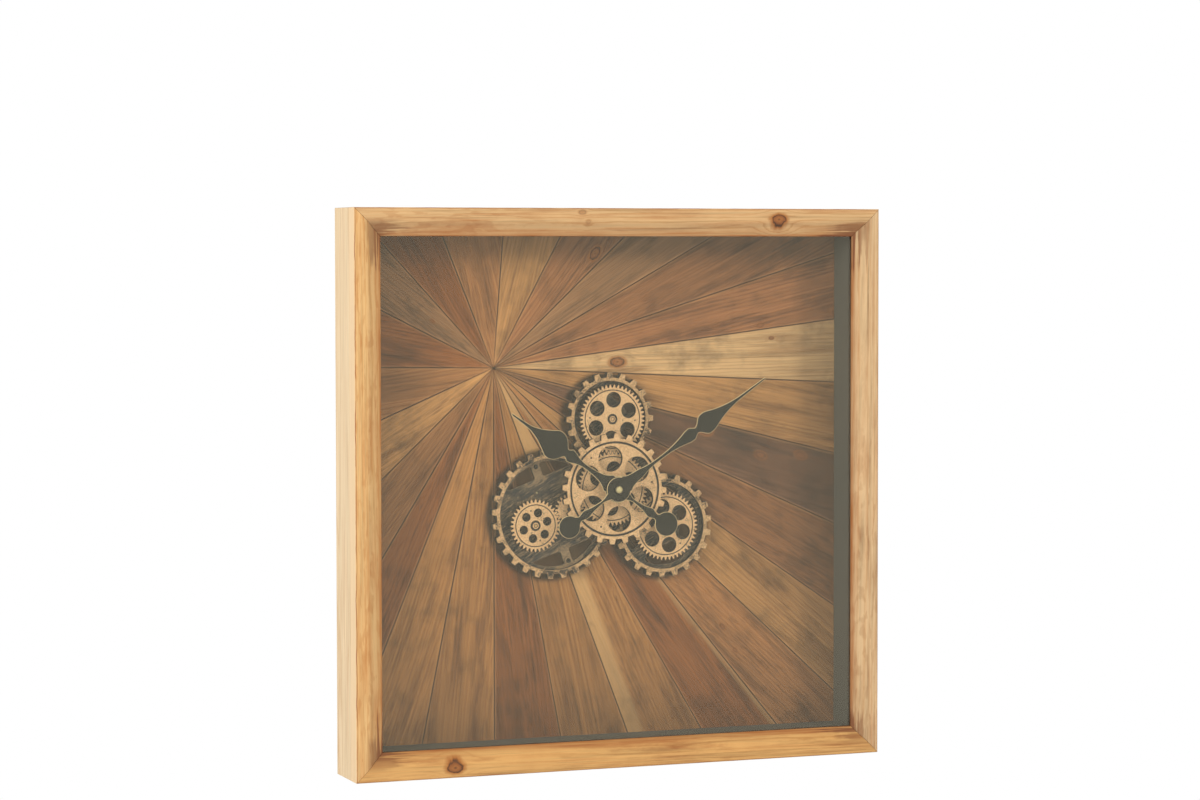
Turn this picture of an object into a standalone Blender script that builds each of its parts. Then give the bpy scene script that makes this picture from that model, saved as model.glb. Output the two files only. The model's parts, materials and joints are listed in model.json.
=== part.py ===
"""Square wall clock: a deep wooden box frame, a sunburst panel of slats and an open gear train.

Metres, +Z up. The clock faces -Y and its back lies in the plane Y = 0. The origin is the point on
the wall where the hook holds the clock. A distance called back or front is measured from the wall,
and an angle is counted in degrees clockwise from twelve, seen from the front.
"""

import math

import bmesh
import bpy
from mathutils import Vector

MM = 0.001

# Gaps
SEAT_GAP = 0.3 * MM
RUNNING_GAP = 0.4 * MM
POCKET_GAP = 1.0 * MM
MOVING_AIR = 2.0 * MM

# Wooden frame
FRAME_WIDTH = 600 * MM
FRAME_HEIGHT = 600 * MM
BOARD_THICKNESS = 18 * MM
MOULDING_WIDTH = 30 * MM
MOULDING_DEPTH = 20 * MM
MOULDING_ROUND = 1.5 * MM
MOULDING_FALL = 6.3 * MM
MOULDING_SHOULDER = 12 * MM
MOULDING_CREST = 18.6 * MM
HOLLOW_DEPTH = 3.5 * MM
LIP_THICKNESS = 8.7 * MM
LINER_THICKNESS = 8.7 * MM
GLASS_THICKNESS = 3 * MM

# Panel
BACK_RECESS = 7 * MM
BACKING_THICKNESS = 6 * MM
SLAT_THICKNESS = 4.7 * MM
BURST_LEFT = 130 * MM
BURST_RISE = 129.5 * MM
SLATS = (
    (4.5, "honey"),
    (28.6, "walnut"),
    (47.0, "ash"),
    (61.0, "walnut"),
    (73.0, "rust"),
    (83.0, "honey"),
    (93.0, "tan"),
    (104.0, "umber"),
    (114.0, "rust"),
    (124.0, "tan"),
    (132.4, "tan"),
    (140.4, "walnut"),
    (149.0, "honey"),
    (159.0, "umber"),
    (169.3, "tan"),
    (180.0, "rust"),
    (191.5, "tan"),
    (202.5, "umber"),
    (212.0, "walnut"),
    (227.0, "honey"),
    (247.0, "tan"),
    (271.0, "umber"),
    (296.5, "ash"),
    (317.0, "walnut"),
    (338.0, "tan"),
)

# Gear train
DIAL_DROP = 2 * MM
MODULE = 1.5 * MM
PRESSURE_ANGLE = 20.0
ADDENDUM = 0.95
DEDENDUM = 1.25
BACKLASH = 0.3 * MM
FLANK_TOLERANCE = 0.15 * MM
CENTRE_TEETH = 52
DISC_TEETH = 48
PINION_TEETH = 20
LEFT_TEETH = 36
TOP_DIRECTION = 0.0
RIGHT_DIRECTION = 124.3
PINION_DIRECTION = 246.9
WHEEL_THICKNESS = 5 * MM
CENTRE_BORE = 9.8 * MM
WHEEL_BORE = 3.8 * MM
COUNTERBORE_RADIUS = 5.4 * MM
COUNTERBORE_DEPTH = 1.5 * MM
GROOVE_WIDTH = 1.0 * MM
GROOVE_DEPTH = 1.0 * MM
GROOVE_TO_ROOT = 2.2 * MM
DISC_HOLE_RADIUS = 8.4 * MM
DISC_HOLE_CIRCLE = 21 * MM
LEFT_HOLE_RADIUS = 4.7 * MM
LEFT_HOLE_CIRCLE = 14 * MM
HOLE_COUNT = 6
CENTRE_HOLE_TURN = 5.0
TOP_HOLE_TURN = 4.0
RIGHT_HOLE_TURN = -11.0
LEFT_HOLE_TURN = 12.0

# Gear base
FLOOR_THICKNESS = 2.7 * MM
RIM_HEIGHT = 6.0 * MM
RIM_WIDTH = 3.8 * MM
CENTRE_FLOOR_RADIUS = 52 * MM
BLOCK_TIP_WIDTH = 5.4 * MM
BLOCK_ROOT_WIDTH = 7.6 * MM
TOP_RING_TEETH = 20
TOP_RING_TIP = 50.2 * MM
RIGHT_RING_TEETH = 22
RIGHT_RING_TIP = 56.6 * MM
RIGHT_RING_TURN = 1.7
LEFT_RING_TEETH = 28
LEFT_RING_TIP = 69.8 * MM
LEFT_RING_TURN = 3.0
LEFT_RING_REACH = 70.3 * MM
LEFT_RING_DIRECTION = 248.0
BLOCK_HEIGHT = 5.4 * MM
SPOKE_WINDOW_INNER = 22 * MM
SPOKE_WINDOW_EDGE = 4.0 * MM
SPOKE_WINDOW_SWEEP = 66.0
TOP_WINDOW_TURN = 45.0
RIGHT_WINDOW_TURN = 85.0
BAND_HALF_WIDTH = 40 * MM
BAND_TURN = -20.0
BAND_SPOKE_WIDTH = 9.5 * MM
BAND_WINDOW_EDGE = 3.0 * MM
SLEEVE_SHOULDER_RADIUS = 12.5 * MM
SLEEVE_BORE_RADIUS = 7.4 * MM
PILLAR_RADIUS = 3.5 * MM
PILLAR_TURNS = (82.0, 204.0, 321.0)
TOWER_RADIUS = 7 * MM
SPINDLE_TOP_SETBACK = 0.3 * MM
PIN_SHANK_RADIUS = 1.5 * MM
PIN_SHANK_LENGTH = 7.8 * MM
PIN_HEAD_HEIGHT = 2.0 * MM
PIN_CHAMFER = 1.4 * MM
PIN_CHAMFER_HEIGHT = 0.8 * MM
SCREW_HOLE_RADIUS = 1.9 * MM
SCREW_BOSS_RADIUS = 4.4 * MM
SCREW_BOSS_HEIGHT = 1.5 * MM
SCREW_SETBACK = 6.2 * MM

# Face gear
FACE_TEETH = 24
FACE_TIP = 60 * MM
FACE_TURN = 2.7
FACE_THICKNESS = 5 * MM
FACE_HOLE_RADIUS = 13.9 * MM
FACE_HOLE_CIRCLE = 33 * MM
FACE_HOLE_TURN = -8.5
FACE_CENTRE_HOLE = 4.5 * MM
FACE_GROOVE_WIDTH = 1.8 * MM
FACE_GROOVE_TO_ROOT = 3.2 * MM

# Hands, at 10:09 and ten seconds
MINUTE_TURN = 55.6
HOUR_TURN = 300.0 + MINUTE_TURN / 12.0
HAND_THICKNESS = 0.8 * MM
HOUR_LIFT = 8.2 * MM
MINUTE_LIFT = 2.2 * MM
HOUR_HUB_RADIUS = 14.3 * MM
MINUTE_HUB_RADIUS = 13.6 * MM
TAIL_DISC_CENTRE = 68.5 * MM
HOUR_TAIL_RADIUS = 13.2 * MM
MINUTE_TAIL_RADIUS = 12.2 * MM
HOUR_TUBE_RADIUS = 2.6 * MM
ARBOR_RADIUS = 1.6 * MM
SHOULDER_HEIGHT = 1.0 * MM
CAP_RADIUS = 4 * MM
CAP_HEIGHT = 3 * MM
CAP_SKIRT = 1 * MM
HAND_ROOM = 3.7 * MM

# Clock movement
CASE_BACK = 0.5 * MM
CASE_THICKNESS = 15.5 * MM
CASE_CORNER = 2.0 * MM
CASE_SIDE = 56 * MM
BAY_WALL = 0.6 * MM
BATTERY_RADIUS = 7.1 * MM
BATTERY_LENGTH = 50.5 * MM
BATTERY_NUB_LENGTH = 1.3 * MM
BATTERY_NUB_RADIUS = 2.7 * MM
BAY_LEFT = 18.5 * MM
BUSH_RADIUS = 4 * MM
BUSH_LENGTH = 10 * MM
BUSH_BORE_DEPTH = 13.3 * MM
NUT_HEIGHT = 3 * MM
NUT_CORNER_RADIUS = 6.35 * MM
KNOB_RIGHT = 13 * MM
KNOB_DROP = 13 * MM
KNOB_RADIUS = 7 * MM
KNOB_THICKNESS = 3.6 * MM
KNOB_FLUTES = 18
KNOB_STEM_RADIUS = 1.5 * MM
KNOB_STEM_LENGTH = 4 * MM

# Gear drive
DRIVE_WIDTH = 60 * MM
DRIVE_HEIGHT = 40 * MM
DRIVE_SHAFT_X = 13 * MM
DRIVE_SHAFT_Z = 9.5 * MM
DRIVE_BAY_DROP = 10.2 * MM
DRIVE_SHAFT_RADIUS = 2 * MM
DRIVE_SHAFT_DEPTH = 6 * MM

# Hanger
HANGER_SETBACK = 4.2 * MM
HANGER_WIDTH = 60 * MM
HANGER_HEIGHT = 28 * MM
HANGER_THICKNESS = 1.5 * MM
KEYHOLE_RADIUS = 4.6 * MM
KEYHOLE_SLOT_RADIUS = 2.6 * MM
KEYHOLE_DROP = 9 * MM
HANGER_TOP_MARGIN = 9.5 * MM
HANGER_SCREW_RADIUS = 1.8 * MM
HANGER_SCREW_INSET = 7 * MM
HOOK_POCKET_MARGIN = 3 * MM
HOOK_POCKET_DEPTH = 4.5 * MM

# Steps of the round forms
LARGE_STEPS = 36
HOLE_STEPS = 16
SMALL_STEPS = 12
WINDOW_STEPS = 6
MOULDING_STEPS = 5
KEYHOLE_STEPS = 8

# Distances from the wall, worked out in stacking order
BACKING_FRONT = BACK_RECESS + BACKING_THICKNESS
SLAT_BACK = BACKING_FRONT + SEAT_GAP
SLAT_FRONT = SLAT_BACK + SLAT_THICKNESS
BASE_BACK = SLAT_FRONT + SEAT_GAP
FLOOR_FRONT = BASE_BACK + FLOOR_THICKNESS
RIM_FRONT = FLOOR_FRONT + RIM_HEIGHT
WHEEL_BACK = RIM_FRONT + MOVING_AIR
WHEEL_FRONT = WHEEL_BACK + WHEEL_THICKNESS
FACE_BACK = WHEEL_FRONT + MOVING_AIR
FACE_FRONT = FACE_BACK + FACE_THICKNESS
HOUR_BACK = FACE_FRONT + HOUR_LIFT
HOUR_FRONT = HOUR_BACK + HAND_THICKNESS
MINUTE_BACK = HOUR_FRONT + MINUTE_LIFT
MINUTE_FRONT = MINUTE_BACK + HAND_THICKNESS
CAP_BACK = MINUTE_FRONT + SEAT_GAP
GLASS_BACK = CAP_BACK + CAP_HEIGHT + HAND_ROOM
GLASS_FRONT = GLASS_BACK + GLASS_THICKNESS
LIP_BACK = GLASS_FRONT + SEAT_GAP
FRAME_DEPTH = LIP_BACK + LIP_THICKNESS
MOULDING_BACK = FRAME_DEPTH - MOULDING_DEPTH
BOARD_FRONT = MOULDING_BACK - SEAT_GAP
CASE_FRONT = CASE_BACK + CASE_THICKNESS
PANEL_HALF_WIDTH = FRAME_WIDTH / 2 - BOARD_THICKNESS - SEAT_GAP
PANEL_HALF_HEIGHT = FRAME_HEIGHT / 2 - BOARD_THICKNESS - SEAT_GAP
HOOK_RISE = PANEL_HALF_HEIGHT - HANGER_SETBACK - HANGER_TOP_MARGIN
SPINDLE_RADIUS = WHEEL_BORE - RUNNING_GAP
COUNTERBORE_FLOOR = WHEEL_FRONT - COUNTERBORE_DEPTH
PASS_THROUGH = 5 * MM

COLOURS = {
    "fir": ((0.84, 0.56, 0.28), 0.45, 0.0),
    "honey": ((0.44, 0.30, 0.16), 0.55, 0.0),
    "tan": ((0.30, 0.18, 0.10), 0.55, 0.0),
    "rust": ((0.25, 0.13, 0.075), 0.55, 0.0),
    "walnut": ((0.16, 0.095, 0.06), 0.55, 0.0),
    "umber": ((0.19, 0.13, 0.08), 0.55, 0.0),
    "ash": ((0.21, 0.16, 0.11), 0.55, 0.0),
    "plywood": ((0.55, 0.42, 0.28), 0.7, 0.0),
    "black_board": ((0.02, 0.02, 0.02), 0.7, 0.0),
    "clear_glass": ((0.9, 0.95, 0.93), 0.05, 0.0),
    "dark_bronze": ((0.22, 0.18, 0.12), 0.5, 0.3),
    "gold_bronze": ((0.55, 0.36, 0.17), 0.5, 0.3),
    "brass": ((0.80, 0.62, 0.25), 0.25, 1.0),
    "black_aluminium": ((0.03, 0.03, 0.03), 0.5, 0.2),
    "black_plastic": ((0.03, 0.03, 0.03), 0.5, 0.0),
    "steel": ((0.55, 0.55, 0.55), 0.35, 1.0),
    "battery_label": ((0.05, 0.10, 0.25), 0.35, 0.0),
}


def clear_scene():
    for old in list(bpy.data.objects):
        bpy.data.objects.remove(old, do_unlink=True)


def new_collection(name):
    collection = bpy.data.collections.new(name)
    bpy.context.scene.collection.children.link(collection)
    return collection


def new_empty(name, parent, x, z):
    """An empty on an axis that runs along Y."""
    empty = bpy.data.objects.new(name, None)
    empty.location = (x, 0, z)
    empty.parent = parent
    parts.objects.link(empty)
    return empty


def material(colour_name):
    """The one material of that colour, made the first time it is asked for."""
    found = bpy.data.materials.get(colour_name)
    if found:
        return found
    colour, roughness, metallic = COLOURS[colour_name]
    made = bpy.data.materials.new(colour_name)
    made.use_nodes = True
    shader = made.node_tree.nodes["Principled BSDF"]
    shader.inputs["Base Color"].default_value = (*colour, 1.0)
    shader.inputs["Roughness"].default_value = roughness
    shader.inputs["Metallic"].default_value = metallic
    return made


def polar(radius, turn, centre=(0.0, 0.0)):
    """The point at this radius and clockwise angle round a centre, as (x, z)."""
    angle = math.radians(turn)
    return (centre[0] + radius * math.sin(angle), centre[1] + radius * math.cos(angle))


def arc(radius, start, end, steps, centre=(0.0, 0.0)):
    return [polar(radius, start + (end - start) * i / steps, centre) for i in range(steps + 1)]


def circle(radius, steps, centre=(0.0, 0.0)):
    return arc(radius, 0, 360, steps, centre)[:-1]


def add_object(name, mesh, parent):
    made = bpy.data.objects.new(name, mesh)
    made.parent = parent
    parts.objects.link(made)
    return made


def finish(made, colour_name, smooth_angle=30.0):
    made.data.materials.clear()
    made.data.materials.append(material(colour_name))
    made.data.shade_smooth()
    made.data.set_sharp_from_angle(angle=math.radians(smooth_angle))
    return made


def tool(made):
    """Turn a shape into a cutter or an addition that the build leaves out."""
    parts.objects.unlink(made)
    tools.objects.link(made)
    made.hide_render = True
    made.display_type = "WIRE"
    return made


def combine(made, operation, others):
    for other in others:
        modifier = made.modifiers.new(other.name, "BOOLEAN")
        modifier.operation = operation
        modifier.solver = "EXACT"
        modifier.object = tool(other)
    return made


def unite(made, others):
    return combine(made, "UNION", others)


def cut(made, others):
    return combine(made, "DIFFERENCE", others)


def flat_plate(name, parent, outlines, back, front):
    """A plate whose first outline is its edge and whose others are holes, as (x, z) points."""
    curve = bpy.data.curves.new(name, "CURVE")
    curve.dimensions = "2D"
    curve.fill_mode = "BOTH"
    curve.extrude = (front - back) / 2
    for outline in outlines:
        spline = curve.splines.new("POLY")
        spline.points.add(len(outline) - 1)
        for point, (x, z) in zip(spline.points, outline):
            point.co = (x, z, 0, 1)
        spline.use_cyclic_u = True
    drawn = bpy.data.objects.new(name, curve)
    tools.objects.link(drawn)
    graph = bpy.context.evaluated_depsgraph_get()
    mesh = bpy.data.meshes.new_from_object(drawn.evaluated_get(graph))
    bpy.data.objects.remove(drawn)
    bpy.data.curves.remove(curve)
    shape = bmesh.new()
    shape.from_mesh(mesh)
    bmesh.ops.remove_doubles(shape, verts=shape.verts, dist=0.001 * MM)
    middle = (back + front) / 2
    for corner in shape.verts:
        x, z, lift = corner.co
        corner.co = (x, -middle - lift, z)
    bmesh.ops.recalc_face_normals(shape, faces=shape.faces)
    shape.to_mesh(mesh)
    shape.free()
    mesh.name = name
    return add_object(name, mesh, parent)


def rod(name, parent, radius, back, front, steps=SMALL_STEPS, centre=(0.0, 0.0)):
    """A round bar, or a bar with as many sides as steps, from back to front."""
    mesh = bpy.data.meshes.new(name)
    shape = bmesh.new()
    bmesh.ops.create_cone(
        shape, cap_ends=True, segments=steps, radius1=radius, radius2=radius, depth=front - back
    )
    middle = (back + front) / 2
    for corner in shape.verts:
        x, z, lift = corner.co
        corner.co = (centre[0] + x, -middle - lift, centre[1] + z)
    bmesh.ops.recalc_face_normals(shape, faces=shape.faces)
    shape.to_mesh(mesh)
    shape.free()
    return add_object(name, mesh, parent)


def box(name, parent, left, right, bottom, top, back, front):
    mesh = bpy.data.meshes.new(name)
    shape = bmesh.new()
    bmesh.ops.create_cube(shape, size=1)
    for corner in shape.verts:
        corner.co = (
            (left + right) / 2 + corner.co.x * (right - left),
            -(back + front) / 2 + corner.co.y * (front - back),
            (bottom + top) / 2 + corner.co.z * (top - bottom),
        )
    shape.to_mesh(mesh)
    shape.free()
    return add_object(name, mesh, parent)


def turned(name, parent, profile, steps=SMALL_STEPS, closed=False):
    """A lathe shape round Y. The profile runs from the front down the outer side, as (radius, distance)."""
    mesh = bpy.data.meshes.new(name)
    shape = bmesh.new()
    corners = [shape.verts.new((radius, 0, front)) for radius, front in profile]
    for first, second in zip(corners, corners[1:]):
        shape.edges.new((first, second))
    if closed:
        shape.edges.new((corners[-1], corners[0]))
    shape.to_mesh(mesh)
    shape.free()
    made = add_object(name, mesh, parent)
    made.rotation_euler = (math.radians(90), 0, 0)
    screw = made.modifiers.new("lathe", "SCREW")
    screw.angle = math.radians(360)
    screw.steps = steps
    screw.render_steps = steps
    screw.use_merge_vertices = True
    screw.merge_threshold = 0.01 * MM
    return made


def rounded(made, width, angle=60.0):
    bevel = made.modifiers.new("rounded corners", "BEVEL")
    bevel.width = width
    bevel.segments = 2
    bevel.limit_method = "ANGLE"
    bevel.angle_limit = math.radians(angle)
    return made


def frame_side(name, profile, half_length, half_span, quarter_turns):
    """One mitred side. The profile's points are (distance from the outer edge, distance from the wall)."""
    side = flat_plate(name, clock, [profile], -half_length, half_length)
    mitre_cut = SEAT_GAP / math.sqrt(2)
    for corner in side.data.vertices:
        inward, along, wall = corner.co
        end = half_length - inward - mitre_cut
        corner.co = (math.copysign(end, -along), -wall, inward - half_span)
    shape = bmesh.new()
    shape.from_mesh(side.data)
    bmesh.ops.recalc_face_normals(shape, faces=shape.faces)
    shape.to_mesh(side.data)
    shape.free()
    side.rotation_euler = (0, quarter_turns * math.pi / 2, 0)
    return side


def frame_sides(kind, profile, colour_name):
    """Four sides from one profile: bottom, left, top and right."""
    half_width = FRAME_WIDTH / 2
    half_height = FRAME_HEIGHT / 2
    places = {
        "bottom": (half_width, half_height, 0),
        "left": (half_height, half_width, 1),
        "top": (half_width, half_height, 2),
        "right": (half_height, half_width, 3),
    }
    for place, (half_length, half_span, quarter_turns) in places.items():
        side = frame_side(f"{kind}_{place}", profile, half_length, half_span, quarter_turns)
        finish(side, colour_name)


def moulding_profile():
    """Section of the front moulding: rounded outer edge, full crown, then a hollow down to the lip."""
    front = []
    for a in (0.0, math.pi / 6, math.pi / 3, math.pi / 2):
        inward = MOULDING_ROUND * (1 - math.cos(a))
        front.append((inward, FRAME_DEPTH - MOULDING_ROUND * (1 - math.sin(a))))
    shares = [i / MOULDING_STEPS for i in range(1, MOULDING_STEPS + 1)]
    for share in shares:
        inward = MOULDING_SHOULDER + (MOULDING_CREST - MOULDING_SHOULDER) * share
        front.append((inward, FRAME_DEPTH - (MOULDING_FALL - HOLLOW_DEPTH) * share * share))
    for share in shares:
        inward = MOULDING_CREST + (MOULDING_WIDTH - MOULDING_CREST) * share
        front.append((inward, FRAME_DEPTH - MOULDING_FALL + HOLLOW_DEPTH * (1 - share) ** 2))
    rebate = BOARD_THICKNESS
    back = [
        (MOULDING_WIDTH, LIP_BACK),
        (rebate, LIP_BACK),
        (rebate, MOULDING_BACK),
        (0.0, MOULDING_BACK),
    ]
    return front + back


def rectangle(half_width, half_height):
    return [
        (-half_width, -half_height),
        (half_width, -half_height),
        (half_width, half_height),
        (-half_width, half_height),
    ]


def make_frame():
    board_profile = [
        (0.0, 0.0),
        (BOARD_THICKNESS, 0.0),
        (BOARD_THICKNESS, BOARD_FRONT),
        (0.0, BOARD_FRONT),
    ]
    frame_sides("side_board", board_profile, "fir")
    frame_sides("moulding", moulding_profile(), "fir")
    edge = POCKET_GAP - SEAT_GAP
    sheet = rectangle(PANEL_HALF_WIDTH - edge, PANEL_HALF_HEIGHT - edge)
    finish(flat_plate("glass_pane", clock, [sheet], GLASS_BACK, GLASS_FRONT), "clear_glass")
    outer = rectangle(PANEL_HALF_WIDTH, PANEL_HALF_HEIGHT)
    inner = rectangle(PANEL_HALF_WIDTH - LINER_THICKNESS, PANEL_HALF_HEIGHT - LINER_THICKNESS)
    liner = flat_plate(
        "glass_spacer_frame", clock, [outer, inner], SLAT_FRONT + SEAT_GAP, GLASS_BACK - SEAT_GAP
    )
    finish(liner, "black_board")


def pocket(name):
    """The space behind the panel for one housing, from behind the wall plane to the housing's front."""
    if name == "movement":
        x, z = AXIS
        half_width = half_height = CASE_SIDE / 2
    else:
        x, z = DRIVE_CENTRE
        half_width = DRIVE_WIDTH / 2
        half_height = DRIVE_HEIGHT / 2
    reach_x = half_width + POCKET_GAP
    reach_z = half_height + POCKET_GAP
    sides = (x - reach_x, x + reach_x, z - reach_z, z + reach_z)
    return box(f"{name}_pocket", clock, *sides, -PASS_THROUGH, CASE_FRONT + SEAT_GAP)


def panel_tools():
    """What is cut from the backing board and the slats: two pockets and two shaft holes."""
    front = SLAT_FRONT + PASS_THROUGH
    return [
        pocket("movement"),
        pocket("drive"),
        rod("bush_hole", clock, BUSH_RADIUS + SEAT_GAP, 0, front, centre=AXIS),
        rod("drive_shaft_hole", clock, DRIVE_SHAFT_RADIUS + POCKET_GAP, 0, front, centre=PINION_AXIS),
    ]


def make_backing():
    sheet = rectangle(PANEL_HALF_WIDTH, PANEL_HALF_HEIGHT)
    backing = flat_plate("backing_board", clock, [sheet], BACK_RECESS, BACKING_FRONT)
    head_room = KEYHOLE_RADIUS + HOOK_POCKET_MARGIN
    hook_pocket = box(
        "hook_pocket",
        clock,
        -head_room,
        head_room,
        HOOK_RISE - KEYHOLE_DROP - head_room,
        HOOK_RISE + head_room,
        0,
        BACK_RECESS + HOOK_POCKET_DEPTH,
    )
    finish(cut(backing, [*panel_tools(), hook_pocket]), "plywood")


def reach_edge(start, turn):
    """Where a line from start at this clockwise angle leaves the panel."""
    direction = polar(1.0, turn)
    shares = []
    for i, half in enumerate((PANEL_HALF_WIDTH, PANEL_HALF_HEIGHT)):
        if abs(direction[i]) > 1e-9:
            shares.append((math.copysign(half, direction[i]) - start[i]) / direction[i])
    share = min(shares)
    return (start[0] + direction[0] * share, start[1] + direction[1] * share)


def slat_outline(start, end):
    """A slat runs from near the burst's centre to the panel's edge, round a corner where one lies between."""
    half = math.radians(end - start) / 2
    tip = polar(SEAT_GAP / 2 / math.sin(half), (start + end) / 2, (-BURST_LEFT, BURST_RISE))
    outline = [tip, reach_edge(tip, start)]
    corners = []
    for x, z in rectangle(PANEL_HALF_WIDTH, PANEL_HALF_HEIGHT):
        turn = math.degrees(math.atan2(x - tip[0], z - tip[1]))
        along = (turn - start) % 360
        if along < end - start:
            corners.append((along, (x, z)))
    outline += [corner for _, corner in sorted(corners)]
    outline.append(reach_edge(tip, end))
    return outline


def reaches(outline, other):
    """Whether the outline's box comes near the other object's box."""
    low = [min(point[i] for point in outline) for i in (0, 1)]
    high = [max(point[i] for point in outline) for i in (0, 1)]
    corners = [Vector(corner.co) for corner in other.data.vertices]
    other_low = [min(corner[i] for corner in corners) for i in (0, 2)]
    other_high = [max(corner[i] for corner in corners) for i in (0, 2)]
    return all(low[i] < other_high[i] and other_low[i] < high[i] for i in (0, 1))


def make_slats():
    turns = [turn for turn, _ in SLATS] + [SLATS[0][0] + 360]
    cutters = [tool(cutter) for cutter in panel_tools()]
    for number, (start, end) in enumerate(zip(turns, turns[1:])):
        outline = slat_outline(start, end)
        slat = flat_plate(f"sunburst_slat_{number + 1:02d}", clock, [outline], SLAT_BACK, SLAT_FRONT)
        for cutter in cutters:
            if reaches(outline, cutter):
                modifier = slat.modifiers.new(cutter.name, "BOOLEAN")
                modifier.solver = "EXACT"
                modifier.object = cutter
        finish(slat, SLATS[number][1])


def mesh_distance(first_teeth, second_teeth):
    return MODULE * (first_teeth + second_teeth) / 2


def tip_radius(teeth):
    return MODULE * (teeth / 2 + ADDENDUM)


def root_radius(teeth):
    return MODULE * (teeth / 2 - DEDENDUM)


def involute(angle):
    return math.tan(angle) - angle


def flank_points(teeth):
    """Points up an involute flank, as (radius, angle from the tooth's middle).

    A flank is drawn straight from root to tip unless it bulges past that line at the pitch circle.
    """
    pitch = MODULE * teeth / 2
    pressure = math.radians(PRESSURE_ANGLE)
    base = pitch * math.cos(pressure)
    pitch_half = (math.pi * MODULE / 2 - BACKLASH) / 2 / pitch

    def point(radius):
        inside = math.acos(min(1.0, base / radius))
        return (radius, math.degrees(pitch_half + involute(pressure) - involute(inside)))

    root, middle, tip = (point(radius) for radius in (root_radius(teeth), pitch, tip_radius(teeth)))
    share = (pitch - root[0]) / (tip[0] - root[0])
    straight_half = root[1] + (tip[1] - root[1]) * share
    bulge = pitch * math.radians(middle[1] - straight_half)
    return [root, middle, tip] if bulge > FLANK_TOLERANCE else [root, tip]


def gear_outline(teeth, turn):
    """Involute teeth, one of them with its middle at turn."""
    flank = flank_points(teeth)
    outline = []
    for i in range(teeth):
        middle = turn + 360 * i / teeth
        outline += [polar(radius, middle - half) for radius, half in flank]
        outline += [polar(radius, middle + half) for radius, half in reversed(flank)]
    return outline


def block_outline(teeth, tip, turn, centre=(0.0, 0.0)):
    """Square-ended teeth on a round rim."""
    root = tip - BLOCK_HEIGHT
    root_half = math.degrees(BLOCK_ROOT_WIDTH / 2 / root)
    tip_half = math.degrees(BLOCK_TIP_WIDTH / 2 / tip)
    outline = []
    for i in range(teeth):
        middle = turn + 360 * i / teeth
        outline.append(polar(root, middle - root_half, centre))
        outline.append(polar(tip, middle - tip_half, centre))
        outline.append(polar(tip, middle + tip_half, centre))
        outline.append(polar(root, middle + root_half, centre))
    return outline


def meshing_turn(direction, own_teeth, driver_teeth, driver_turn):
    """Where a wheel's tooth lies when the driver, in this direction back from it, is in mesh with it."""
    driver_share = (direction - driver_turn) * driver_teeth / 360
    return direction + 180 + (driver_share - 0.5) * 360 / own_teeth


def wheel(name, parent, teeth, turn, bore, holes, hole_turn):
    """A spur wheel with round holes in its web. Holes are (radius of one, radius of their circle)."""
    outlines = [gear_outline(teeth, turn), circle(bore, HOLE_STEPS)]
    for i in range(HOLE_COUNT):
        centre = polar(holes[1], hole_turn + 360 * i / HOLE_COUNT)
        outlines.append(circle(holes[0], HOLE_STEPS, centre))
    return flat_plate(name, parent, outlines, WHEEL_BACK, WHEEL_FRONT)


def ring(name, parent, inner, outer, back):
    """A ring cutter that stands from back to past the front of what it cuts."""
    outlines = [circle(outer, LARGE_STEPS), circle(inner, LARGE_STEPS)]
    return flat_plate(name, parent, outlines, back, back + PASS_THROUGH)


def make_wheels():
    centre_turn = 0.0
    disc_holes = (DISC_HOLE_RADIUS, DISC_HOLE_CIRCLE)
    left_holes = (LEFT_HOLE_RADIUS, LEFT_HOLE_CIRCLE)
    wheel("centre_wheel", hands_axis, CENTRE_TEETH, centre_turn, CENTRE_BORE, disc_holes, CENTRE_HOLE_TURN)
    top_turn = meshing_turn(TOP_DIRECTION, DISC_TEETH, CENTRE_TEETH, centre_turn)
    wheel("top_wheel", top_axis, DISC_TEETH, top_turn, WHEEL_BORE, disc_holes, TOP_HOLE_TURN)
    right_turn = meshing_turn(RIGHT_DIRECTION, DISC_TEETH, CENTRE_TEETH, centre_turn)
    wheel("right_wheel", right_axis, DISC_TEETH, right_turn, WHEEL_BORE, disc_holes, RIGHT_HOLE_TURN)
    pinion_turn = meshing_turn(PINION_DIRECTION, PINION_TEETH, CENTRE_TEETH, centre_turn)
    pinion = flat_plate(
        "drive_pinion",
        pinion_axis,
        [gear_outline(PINION_TEETH, pinion_turn), circle(DRIVE_SHAFT_RADIUS + SEAT_GAP, SMALL_STEPS)],
        WHEEL_BACK,
        WHEEL_FRONT,
    )
    finish(pinion, "gold_bronze")
    left_turn = meshing_turn(PINION_DIRECTION, LEFT_TEETH, PINION_TEETH, pinion_turn)
    wheel("left_wheel", left_axis, LEFT_TEETH, left_turn, WHEEL_BORE, left_holes, LEFT_HOLE_TURN)
    pinned = (
        ("top_wheel", top_axis, DISC_TEETH),
        ("right_wheel", right_axis, DISC_TEETH),
        ("left_wheel", left_axis, LEFT_TEETH),
    )
    for name, parent, teeth in pinned:
        groove_outer = root_radius(teeth) - GROOVE_TO_ROOT
        groove_inner = groove_outer - GROOVE_WIDTH
        clear = WHEEL_FRONT + PASS_THROUGH
        recesses = [
            ring(f"{name}_groove", parent, groove_inner, groove_outer, WHEEL_FRONT - GROOVE_DEPTH),
            rod(f"{name}_counterbore", parent, COUNTERBORE_RADIUS, COUNTERBORE_FLOOR, clear),
        ]
        cut(bpy.data.objects[name], recesses)
        make_pin(name.replace("wheel", "pin"), parent)
    for name in ("centre_wheel", "top_wheel", "right_wheel", "left_wheel"):
        finish(bpy.data.objects[name], "gold_bronze")


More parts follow.
